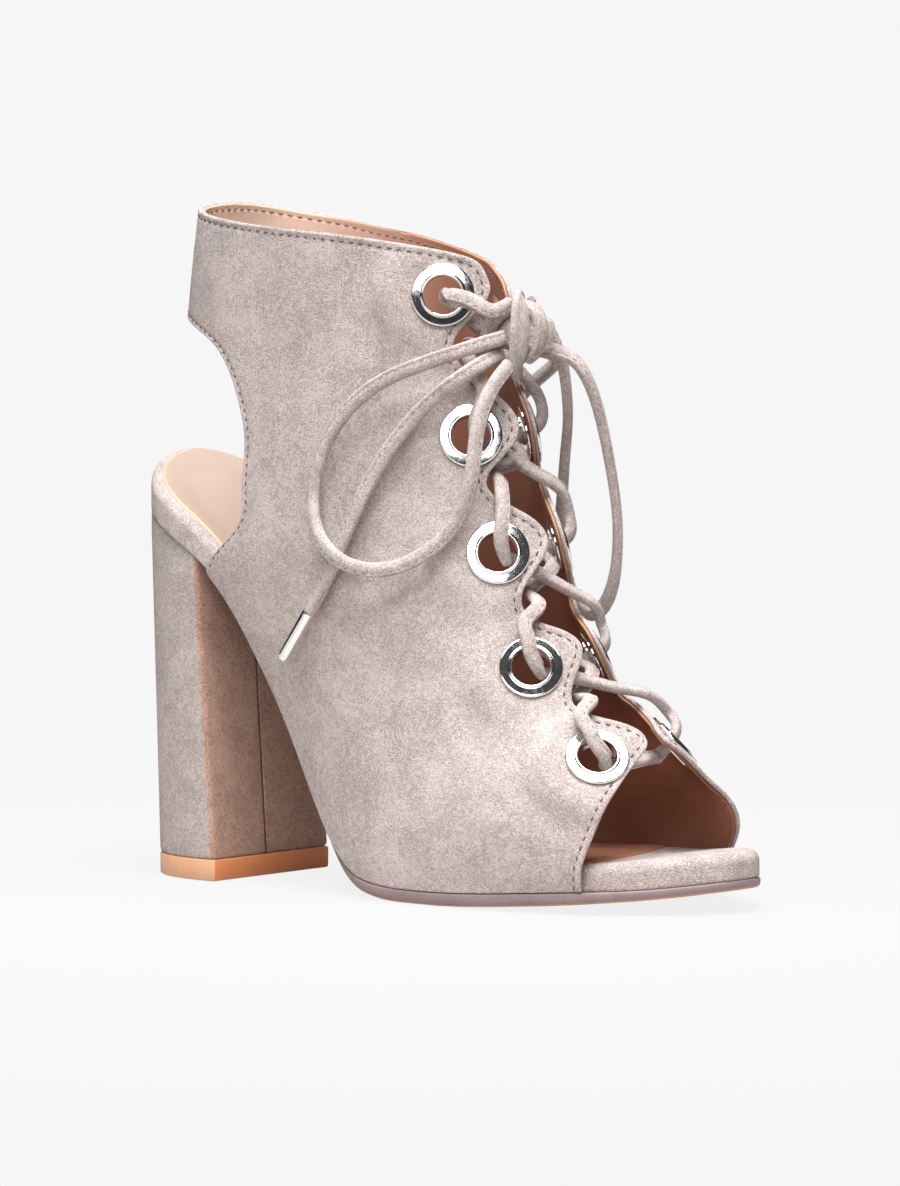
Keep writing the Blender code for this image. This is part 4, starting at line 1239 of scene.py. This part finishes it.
def free_lace(name):
    """A loop or an end of the bow that leaves the knot, and its line in metres."""
    route = lace_routes()[name]
    shown = name + "_strip"
    made = piece(shown, mesh_of(shown, *swept(route, strip())), (lace_look(),), (name,))
    return made, world(route)


def knot_route(places):
    """Points of a wrap in the knot's own directions, its face turned to the front of the outer side."""
    turn = math.radians(KNOT_TURN)
    c, s = math.cos(turn), math.sin(turn)
    axes = np.array([(c, s, 0.0), (0.0, 0.0, 1.0), (s, -c, 0.0)])
    return KNOT + np.array(places) @ axes


def aglet_piece(name, route):
    """Metal sheath pressed round the end of a lace."""
    even = smooth_route(route, 7.0)
    along = unit(even[-1] - even[-2])
    across = unit(np.cross(along, (0.0, 1.0, 0.0)))
    radius = in_mm(sizes().aglet) / 2
    profile = [(radius * share, height) for height, share in AGLET_PROFILE]
    sheath = turned(profile, (even[-1] + GAP * along, across, None, along), AGLET_TURNS)
    shown = name + "_sheath"
    return piece(shown, mesh_of(shown, *sheath), (polished_metal(),), (name,))


class SHOE_OT_bow(bpy.types.Operator):
    """Loops, ends and metal tips of the bow, and its knot"""
    bl_idname = "shoe.bow"
    bl_label = "Bow"

    def execute(self, context):
        for name in ("lace_loop_right", "lace_loop_left"):
            made, line = free_lace(name)
        for name, tip, route in (("lace_end_right", "aglet_right", END_RIGHT),
                                 ("lace_end_left", "aglet_left", END_LEFT)):
            made, line = free_lace(name)
            sheath = aglet_piece(tip, route)
        knot = []
        for route, wide, thick in KNOT_WRAPS:
            knot.append(swept(smooth_route(knot_route(route), KNOT_STEP), lace_profile(wide, thick)))
        piece("knot_wraps", mesh_of("knot_wraps", *joined(knot)), (lace_look(),), ("lace_knot",))
        return {"FINISHED"}


class SHOE_OT_lacing(bpy.types.Operator):
    """Lace through the eyelets and across the throat"""
    bl_idname = "shoe.lacing"
    bl_label = "Lacing"

    def execute(self, context):
        routes = lace_routes()
        runs = [swept(routes[name], strip()) for name in ("crossing_first", "crossing_second")]
        mesh = mesh_of("lacing_strip", *joined(runs))
        piece("lacing_strip", mesh, (lace_look(),), ("lace_crossings",))
        return {"FINISHED"}


# Upper

def creased(grid):
    """Soft troughs in the wall, each with a low ridge on both sides."""
    relief = np.zeros(grid.run.shape)
    at = np.linspace(0, 1, 40)
    for side, start, middle, end, width, depth in CREASES:
        course = spline((0, 0.5, 1), (start, middle, end), at)
        line = upper_point(course[:, :1], course[:, 1:], side)[:, 0]
        gaps = np.linalg.norm(grid.points[:, :, None] - line, axis=-1)
        away = gaps.min(-1) / width
        strength = depth * np.sin(math.pi * (0.1 + 0.8 * at[gaps.argmin(-1)]))
        relief += strength * (CREASE_RIDGE * away ** 2 - 1) * np.exp(-away ** 2 / 2)
    return relief


def swelling(distance, height, half):
    """Smooth swelling beside a line."""
    return height * np.exp(-(distance / half) ** 2)


class SHOE_OT_upper(bpy.types.Operator):
    """Suede wall with rounded edges, creases, seam furrows and eyelet holes"""
    bl_idname = "shoe.upper"
    bl_label = "Upper"

    def execute(self, context):
        grid = wall()
        thick = in_mm(sizes().suede)
        share = grid.rounding(EDGE_ROUND)
        seam = grid.seam()
        lip_height, lip_place, lip_half = SEAM_LIP
        pressed = 1 - ease(*EYELET_PRESS, grid.from_eyelets())
        relief = swelling(seam + lip_place, lip_height, lip_half) - swelling(seam, *SEAM_FURROW)
        relief += creased(grid) * (1 - pressed) - PRESS_DEPTH * pressed
        keep, move = grid.punched()
        middle = grid.points + move - grid.out * thick / 2
        outer = middle + grid.out * (share * (thick / 2 + relief))[..., None]
        inner = middle - grid.out * (share * thick / 2)[..., None]
        points, faces, _ = shell(outer, inner, keep, share <= 0)
        mesh = mesh_of("upper_suede", points, faces, sharp=75)
        piece("upper_suede", mesh, (suede("upper_suede"),), ("upper",))
        return {"FINISHED"}


class SHOE_OT_lining(bpy.types.Operator):
    """Leather lining inside the suede wall, with a tan cut edge"""
    bl_idname = "shoe.lining"
    bl_label = "Lining"

    def execute(self, context):
        grid = wall()
        thick = in_mm(sizes().lining)
        share = grid.rounding(LINING_ROUND, LINING_TRIM)
        keep, move = grid.punched()
        inside = slice(LINING_TRIM, -LINING_TRIM)
        trimmed = np.zeros_like(keep)
        trimmed[inside, inside] = keep[inside, inside]
        outer_face = in_mm(sizes().suede) + LINING_GAP
        middle = grid.points + move - grid.out * (outer_face + thick / 2)
        back = np.where(grid.run > BACK_SEAM_RUN, grid.points[..., 1], FAR)
        sunk = swelling(grid.seam(), *LINING_FURROW) + swelling(back, *BACK_SEAM)
        outer = middle + grid.out * (share * thick / 2)[..., None]
        inner = middle - grid.out * (share * (thick / 2 - sunk))[..., None]
        points, faces, place = shell(outer, inner, trimmed, share <= 0)
        mesh = mesh_of("upper_lining", points, faces, sharp=75)
        point_values(mesh, "edge", grid.edge().ravel()[place])
        piece("upper_lining", mesh, (lining_leather(),))
        return {"FINISHED"}


def profile_arc(middle, radius, start, end, count=7):
    """Points of an arc in a turned profile, angles in degrees."""
    turn = np.radians(np.linspace(start, end, count))
    return [(middle[0] + radius * math.cos(a), middle[1] + radius * math.sin(a)) for a in turn]


def eyelet_profile():
    """Radius and height along a grommet's section, from its inner end round its flange and its washer."""
    profile = [(5.4, -3.0)]
    profile += profile_arc((5.85, 0.75), 0.45, 180, 20)
    profile += [(6.36, 0.8), (6.46, 0.76), (6.56, 0.75), (8.3, 0.75), (8.38, 0.74)]
    profile += profile_arc((8.4, 0.24), 0.5, 78, -25)
    profile += [(8.5, 0.02), (6.05, 0.02), (6.05, -2.05), (7.9, -2.05)]
    profile += profile_arc((7.9, -2.4), 0.35, 90, -60, 5)
    return profile + [(6.6, -2.85), (5.8, -3.15)]


class SHOE_OT_eyelets(bpy.types.Operator):
    """Polished grommets with a flat flange, a rolled inner edge and a washer inside"""
    bl_idname = "shoe.eyelets"
    bl_label = "Eyelets"

    def execute(self, context):
        for side, word in ((-1, "right"), (1, "left")):
            for number in range(1, len(EYELETS) + 1):
                name = "eyelet_%s_%d" % (word, number)
                ring = turned(eyelet_profile(), eyelet_frame(number, side), EYELET_TURNS)
                mesh = mesh_of(name + "_ring", *ring, sharp=35)
                piece(name + "_ring", mesh, (polished_metal(),), (name,))
        return {"FINISHED"}


# Sole and heel

def sole_outline(start, count):
    """Plan of the insole from its back end, evenly spaced, right side first."""
    heel = HEEL_ROUND * (1 - np.cos(np.linspace(0, math.pi / 2, 40)))
    toe = LENGTH - TOE_ROUND * (1 - np.cos(np.linspace(math.pi / 2, 0, 60)))
    x = np.concatenate([heel, np.linspace(HEEL_ROUND, LENGTH - TOE_ROUND, 120)[1:-1], toe])
    x = np.concatenate([[start], x[x > start]])
    _, right, left = sole_at(x)
    behind = np.clip((HEEL_ROUND - x) / HEEL_ROUND, 0, 1)
    ahead = np.clip((x - LENGTH + TOE_ROUND) / TOE_ROUND, 0, 1)
    inner_power, outer_power = TOE_SQUARE
    toe_close = np.clip(1 - ahead ** inner_power, 0, 1) ** (1 / outer_power)
    close = np.sqrt(np.clip(1 - behind ** 2, 0, 1)) * toe_close
    swing = TOE_SWING * np.clip((x - SWING_START) / (LENGTH - SWING_START), 0, 1) ** SWING_BEND
    outer = np.stack([x, swing - right * close], -1)
    inner = np.stack([x, swing + left * close], -1)
    back = (outer[:1] + inner[:1]) / 2
    line = np.concatenate([back, outer, inner[::-1], back])
    along = lengths(line)
    even = np.linspace(0, along[-1], count, endpoint=False)
    return np.stack([np.interp(even, along, line[:, k]) for k in range(2)], -1)


def moved_out(outline, distance):
    """A closed plan moved outwards, by a number or one for each point."""
    along = unit(np.roll(outline, -1, 0) - np.roll(outline, 1, 0))
    outward = np.stack([along[:, 1], -along[:, 0]], -1)
    return outline + outward * np.broadcast_to(distance, len(outline))[:, None]


def sole_height(x):
    return sole_at(np.clip(x, 0, LENGTH))[0]


def insole_top(x, y):
    """Height of the insole's top, its heel seat banked up to the inner and the back rim."""
    bank = HEEL_BANK * ease(*BANK_ACROSS, y) * (1 - ease(*BANK_END, x))
    return sole_height(x) + np.interp(x, *INSOLE_THICKNESS) + bank


def dish(x, inside):
    """How far the insole's top lies below its rim, at a distance inside its outline."""
    return HEEL_DISH * (1 - ease(*DISH_END, x)) * ease(*DISH_SLOPE, inside)


def insole_wrap():
    """Padded suede-wrapped insole with a rounded rim."""
    outline = sole_outline(0, SOLE_POINTS)
    rings = []
    for inset, rise in RIM_RINGS:
        plan = moved_out(outline, -inset)
        rings.append(np.column_stack([plan, sole_height(plan[:, 0]) + rise]))
    for turn in np.linspace(0, math.pi / 2, 9):
        inset = RIM_ROUND * (1 - math.cos(turn))
        plan = moved_out(outline, -inset)
        rings.append(np.column_stack([plan, insole_top(*plan.T) - RIM_ROUND * (1 - math.sin(turn))]))
    for inset in SEAT_INSETS:
        plan = moved_out(outline, -inset)
        rings.append(np.column_stack([plan, insole_top(*plan.T) - dish(plan[:, 0], inset)]))
    return stacked(rings)


def sock():
    """Leather sock from the heel to its front edge, and how far its points lie from its edge."""
    plan = moved_out(sole_outline(0, 700), -SOCK_INSET)
    toe = np.argmax(plan[:, 0])
    right, left = plan[:toe + 1], plan[toe:][::-1]
    share = np.linspace(0, 1, SOCK_ROWS)[:, None] ** 1.6
    across = np.sin(np.linspace(-math.pi / 2, math.pi / 2, SOCK_COLUMNS))
    place, slant, bend = SOCK_FRONT
    reach = place - plan[0, 0]
    x = plan[0, 0] + 0.02 + reach * share + 0 * across[None]
    low, high = (np.interp(x, line[:, 0], line[:, 1]) for line in (right, left))
    y = (low + high) / 2 + across * (high - low) / 2
    x = x + (slant * y + bend * y ** 2) * share ** 6
    spot = np.stack([x, y], -1)[:, :, None]
    inside = np.linalg.norm(spot - sole_outline(0, 500)[None, None], axis=-1).min(-1)
    inside[:, [0, -1]] = SOCK_INSET
    inside[0] = SOCK_INSET
    edge = np.minimum(np.maximum(inside - SOCK_INSET, 0), (1 - share) * reach)
    rounded = np.sqrt(1 - np.clip(1 - edge / SOCK_ROUND, 0, 1) ** 2)
    level = insole_top(x, y) - dish(x, inside) - SOCK_SUNK
    raised = np.stack([x, y, level + (SOCK_RISE + SOCK_SUNK) * rounded], -1)
    buried = np.stack([x, y, level - SOCK_BURIED * rounded], -1)
    keep = np.ones((SOCK_ROWS - 1, SOCK_COLUMNS - 1), bool)
    points, faces, used = shell(raised[:, ::-1], buried[:, ::-1], keep, (rounded <= 1e-9)[:, ::-1])
    return points, faces, edge[:, ::-1].ravel()[used]


class SHOE_OT_insole(bpy.types.Operator):
    """Suede-wrapped insole and its leather sock"""
    bl_idname = "shoe.insole"
    bl_label = "Insole"

    def execute(self, context):
        wrap = mesh_of("insole_rim", *insole_wrap())
        piece("insole_rim", wrap, (suede("insole_suede", lightness=0.98),), ("insole",))
        points, faces, edge = sock()
        mesh = mesh_of("insole_sock", points, faces)
        point_values(mesh, "edge", edge)
        piece("insole_sock", mesh, (sock_leather(),))
        return {"FINISHED"}


def outsole_ring(outline, inset, share, rise):
    """Ring of the outsole at a share of its thickness."""
    plan = moved_out(outline, np.interp(outline[:, 0], *OUTSOLE_GROW) - inset)
    x = plan[:, 0]
    bottom = np.maximum(sole_height(x) - np.interp(x, *OUTSOLE_THICKNESS), 0.0)
    top = sole_height(x) - 0.05
    return np.column_stack([plan, bottom + (top - bottom) * share + rise])


class SHOE_OT_outsole(bpy.types.Operator):
    """Thin outsole with a painted edge"""
    bl_idname = "shoe.outsole"
    bl_label = "Outsole"

    def execute(self, context):
        outline = sole_outline(OUTSOLE_END, SOLE_POINTS)
        mesh = mesh_of("outsole_edge", *stacked([outsole_ring(outline, *level) for level in OUTSOLE_RINGS]))
        paint = moulded("outsole_paint", "outsole", speckle=0.22, roughness=0.5)
        leather = moulded("outsole_face", "outsole_face", speckle=0.2, roughness=0.6)
        made = piece("outsole_edge", mesh, (paint, leather), ("outsole",))
        second_look(made.data, lambda face: face.normal.z < -0.75)
        return {"FINISHED"}


def heel_outline(share, grow, corner_radius, seam_depth):
    """Plan of the heel between its foot and its head: rounded back, flat breast, soft edges and a seam."""
    half, back, breast = (a + (b - a) * share for a, b in zip(HEEL_FOOT, HEEL_HEAD))
    half, back, breast = half + grow, back - grow, breast + grow
    reach = breast - back
    limit = math.acos((corner_radius / reach) ** (HEEL_SQUARE / 2))
    turn = np.linspace(0, limit, 44)
    x = breast - reach * np.cos(turn) ** (2 / HEEL_SQUARE)
    y = half * np.sin(turn) ** (2 / HEEL_SQUARE)
    corner = np.radians(np.linspace(90, 0, 8)[1:])
    x = np.concatenate([x, breast - corner_radius + corner_radius * np.cos(corner)])
    y = np.concatenate([y, y[-1] - corner_radius + corner_radius * np.sin(corner)])
    steps = np.array(SEAM_STEPS)
    seam = HEEL_SEAM + np.concatenate([-steps, [0.0], steps])
    spread = np.sort(np.concatenate([np.linspace(-y[-1], y[-1], 16)[1:-1], seam]))
    middle = np.stack([breast - swelling(spread - HEEL_SEAM, seam_depth, SEAM_HALF), spread], -1)
    right = np.stack([x, -y], -1)
    left = np.stack([x, y], -1)[:0:-1]
    return np.concatenate([right, middle, left])


def on_seam(face):
    """Whether a face of the heel cover lies in the furrow of its seam, where a painted shade goes."""
    away = face.center.y - world((0.0, HEEL_SEAM, 0.0))[1]
    return abs(away) < SEAM_SHADE_HALF * MM and face.normal.x > 0.1


class SHOE_OT_heel(bpy.types.Operator):
    """Suede-covered block heel and its rubber top piece"""
    bl_idname = "shoe.heel"
    bl_label = "Heel"

    def execute(self, context):
        foot = TOP_PIECE + GAP
        rings = []
        for share, grow in HEEL_RINGS:
            plan = heel_outline(share, grow, HEEL_CORNER, SEAM_DEPTH)
            rings.append(np.column_stack([plan, foot + (sole_height(plan[:, 0]) - GAP - foot) * share]))
        points, faces = stacked(rings)
        cover = mesh_of("heel_cover", points, faces)
        breast = np.interp(points[:, 2], (0, sole_height(HEEL_HEAD[2])), (HEEL_FOOT[2], HEEL_HEAD[2]))
        # Painted shade: the breast's points get a darker, warmer tint for the shade and warm bounce under the
        # arch
        point_values(cover, "warmth", ease(-1.4, -0.6, points[:, 0] - breast))
        # Painted shade: a much darker copy of the heel's suede on the faces in the seam's furrow
        looks = (suede("heel_suede", lightness=0.97), suede("heel_seam", lightness=0.3))
        made = piece("heel_cover", cover, looks, ("heel_block",))
        second_look(made.data, on_seam)
        rings = []
        for height, grow in LIFT_RINGS:
            plan = heel_outline(0, grow, LIFT_CORNER, 0.0)
            rings.append(np.column_stack([plan, np.full(len(plan), height)]))
        lift = mesh_of("heel_lift", *stacked(rings))
        rubber = moulded("top_piece_rubber", "rubber", speckle=0.14, roughness=0.42)
        # Painted shade: the top piece's front faces take a darker, warmer copy of the rubber
        shade_painted_rubber = moulded("top_piece_breast", "lift_front_shade", speckle=0.14, roughness=0.42)
        made = piece("heel_lift", lift, (rubber, shade_painted_rubber), ("heel_top_piece",))
        second_look(made.data, lambda face: face.normal.x > 0.8)
        return {"FINISHED"}


# Seams

@functools.lru_cache(maxsize=None)
def stitch_tree():
    """Geometry nodes that lay stitches at an even pitch along lines."""
    tree = bpy.data.node_groups.new("stitch_row", "GeometryNodeTree")
    tree.interface.new_socket("Geometry", in_out="INPUT", socket_type="NodeSocketGeometry")
    for label, value in (("Pitch", 0.003), ("Length", 0.0018), ("Thickness", 0.0006)):
        socket = tree.interface.new_socket(label, in_out="INPUT", socket_type="NodeSocketFloat")
        socket.default_value = value
    tree.interface.new_socket("Material", in_out="INPUT", socket_type="NodeSocketMaterial")
    tree.interface.new_socket("Geometry", in_out="OUTPUT", socket_type="NodeSocketGeometry")
    given = tree.nodes.new("NodeGroupInput").outputs
    line = add(tree, "GeometryNodeMeshToCurve", {0: given["Geometry"]}).outputs[0]
    even = add(tree, "GeometryNodeResampleCurve", {"Curve": line, "Length": given["Pitch"]}, mode="LENGTH")
    tangent = add(tree, "GeometryNodeInputTangent").outputs[0]
    turn = add(tree, "FunctionNodeAlignRotationToVector", {"Vector": tangent}, axis="X").outputs[0]
    bead = add(tree, "GeometryNodeMeshUVSphere", {"Segments": 6, "Rings": 4, "Radius": 0.5}).outputs[0]
    thickness = given["Thickness"]
    extent = add(tree, "ShaderNodeCombineXYZ", {0: given["Length"], 1: thickness, 2: thickness}).outputs[0]
    shaped = add(tree, "GeometryNodeTransform", {"Geometry": bead, "Scale": extent}).outputs[0]
    spread = add(tree, "GeometryNodeInstanceOnPoints",
                 {"Points": even.outputs[0], "Instance": shaped, "Rotation": turn})
    real = add(tree, "GeometryNodeRealizeInstances", {0: spread.outputs[0]}).outputs[0]
    soft = add(tree, "GeometryNodeSetShadeSmooth", {0: real}).outputs[0]
    dyed = add(tree, "GeometryNodeSetMaterial", {"Geometry": soft, "Material": given["Material"]}).outputs[0]
    add(tree, "NodeGroupOutput", {0: dyed})
    return tree


def stitched(name, lines, pitch, length, thickness, thread):
    """A row of stitches along each line of points, as one plain mesh."""
    points, edges, start = [], [], 0
    for line in lines:
        points.append(world(line))
        edges += [(start + i, start + i + 1) for i in range(len(line) - 1)]
        start += len(line)
    base = bpy.data.meshes.new(name + "_line")
    base.from_pydata(np.concatenate(points).tolist(), edges, [])
    holder = placed(name + "_line", base)
    modifier = holder.modifiers.new("stitches", "NODES")
    modifier.node_group = stitch_tree()
    given = {"Pitch": pitch, "Length": length, "Thickness": thickness, "Material": thread_look(thread)}
    for socket in stitch_tree().interface.items_tree:
        if socket.in_out == "INPUT" and socket.name in given:
            modifier[socket.identifier] = given[socket.name]
    graph = bpy.context.evaluated_depsgraph_get()
    mesh = bpy.data.meshes.new_from_object(holder.evaluated_get(graph))
    bpy.data.objects.remove(holder, do_unlink=True)
    mesh.name = name
    return piece(name, mesh, ())


def row_at(distance, points, wanted):
    """For each line of points, the point at a wanted distance; distances fall or rise along the line."""
    made = []
    for d, p, w in zip(distance, points, np.broadcast_to(wanted, len(points))):
        order = np.argsort(d)
        made.append([np.interp(w, d[order], p[order, k]) for k in range(3)])
    return np.array(made)


def seam_lines(grid, depth):
    """Lines at a depth: the seam along toe edges, throat and collar, and that along the heel cut-out."""
    surface = grid.points - grid.out * depth
    half = grid.points.shape[1] // 2
    count = len(grid.run)
    inset = in_mm(sizes().throat_inset)
    wanted = grid.inset()[:, 0]
    top = row_at(grid.top[:, half:], surface[:, half:], wanted)
    toes = []
    for columns in (slice(0, TOE_REACH), slice(count - TOE_REACH, count)):
        toe = row_at(grid.toe[columns].T, surface[columns].transpose(1, 0, 2), inset)
        toes.append(toe[(grid.low[columns][0] > 1.0) & (grid.top[columns][0] > inset)])
    from_toe = row_at(grid.top[:, half:], grid.toe[:, half:, None].repeat(3, 2), wanted)[:, 0]
    cut = grid.run[:, 0] > CUT_STITCHES
    low = row_at(grid.low[cut][:, :half], surface[cut][:, :half], in_mm(sizes().cut_inset))
    return np.concatenate([toes[0], top[from_toe > inset], toes[1][::-1]]), low


class SHOE_OT_seams(bpy.types.Operator):
    """Stitches along the collar, throat, toe edge and heel cut-out, and in the furrow of the lace"""
    bl_idname = "shoe.seams"
    bl_label = "Seams"

    def execute(self, context):
        made = sizes()
        pitch, stitch, thread = made.pitch, made.stitch, made.thread
        upper, low = seam_lines(wall(), STITCH_SUNK)
        inside = seam_lines(wall(), in_mm(made.suede + made.lining) + STITCH_INSIDE)
        furrows = [furrow_line(route) for route in lace_routes().values()]
        stitched("edge_stitches", [upper], pitch, stitch, thread, "thread")
        stitched("heel_stitches", [low], pitch * 0.9, stitch * 0.7, thread, "thread")
        stitched("lining_stitches", inside, pitch, stitch, thread * 0.8, "lining_thread")
        stitched("lace_stitches", furrows, pitch * 0.9, stitch * 0.8, thread * 0.6, "lace_thread")
        return {"FINISHED"}


class SHOE_PT_panel(bpy.types.Panel):
    """Sizes, colours and build steps of the shoe"""
    bl_idname = "SHOE_PT_panel"
    bl_label = "Shoe"
    bl_space_type = "VIEW_3D"
    bl_region_type = "UI"
    bl_category = "Shoe"

    def draw(self, context):
        for group_name in ("shoe_sizes", "shoe_colours"):
            values = getattr(context.scene, group_name)
            box = self.layout.box()
            for key in values.__annotations__:
                box.prop(values, key)
        for step in STEPS:
            self.layout.operator(step.bl_idname)


# The camera and the bow come first
STEPS = (SHOE_OT_stage, SHOE_OT_bow, SHOE_OT_lacing, SHOE_OT_upper, SHOE_OT_lining, SHOE_OT_eyelets,
         SHOE_OT_insole, SHOE_OT_outsole, SHOE_OT_heel, SHOE_OT_seams)
CLASSES = (ShoeSizes, ShoeColours, *STEPS, SHOE_PT_panel)


def register():
    for item in CLASSES:
        bpy.utils.register_class(item)
    bpy.types.Scene.shoe_sizes = PointerProperty(type=ShoeSizes)
    bpy.types.Scene.shoe_colours = PointerProperty(type=ShoeColours)


def unregister():
    del bpy.types.Scene.shoe_colours
    del bpy.types.Scene.shoe_sizes
    for item in reversed(CLASSES):
        bpy.utils.unregister_class(item)


def main():
    register()
    bpy.ops.shoe.stage()
    bpy.ops.shoe.bow()
    bpy.ops.shoe.lacing()
    bpy.ops.shoe.upper()
    bpy.ops.shoe.lining()
    bpy.ops.shoe.eyelets()
    bpy.ops.shoe.insole()
    bpy.ops.shoe.outsole()
    bpy.ops.shoe.heel()
    bpy.ops.shoe.seams()


if __name__ == "__main__":
    main()
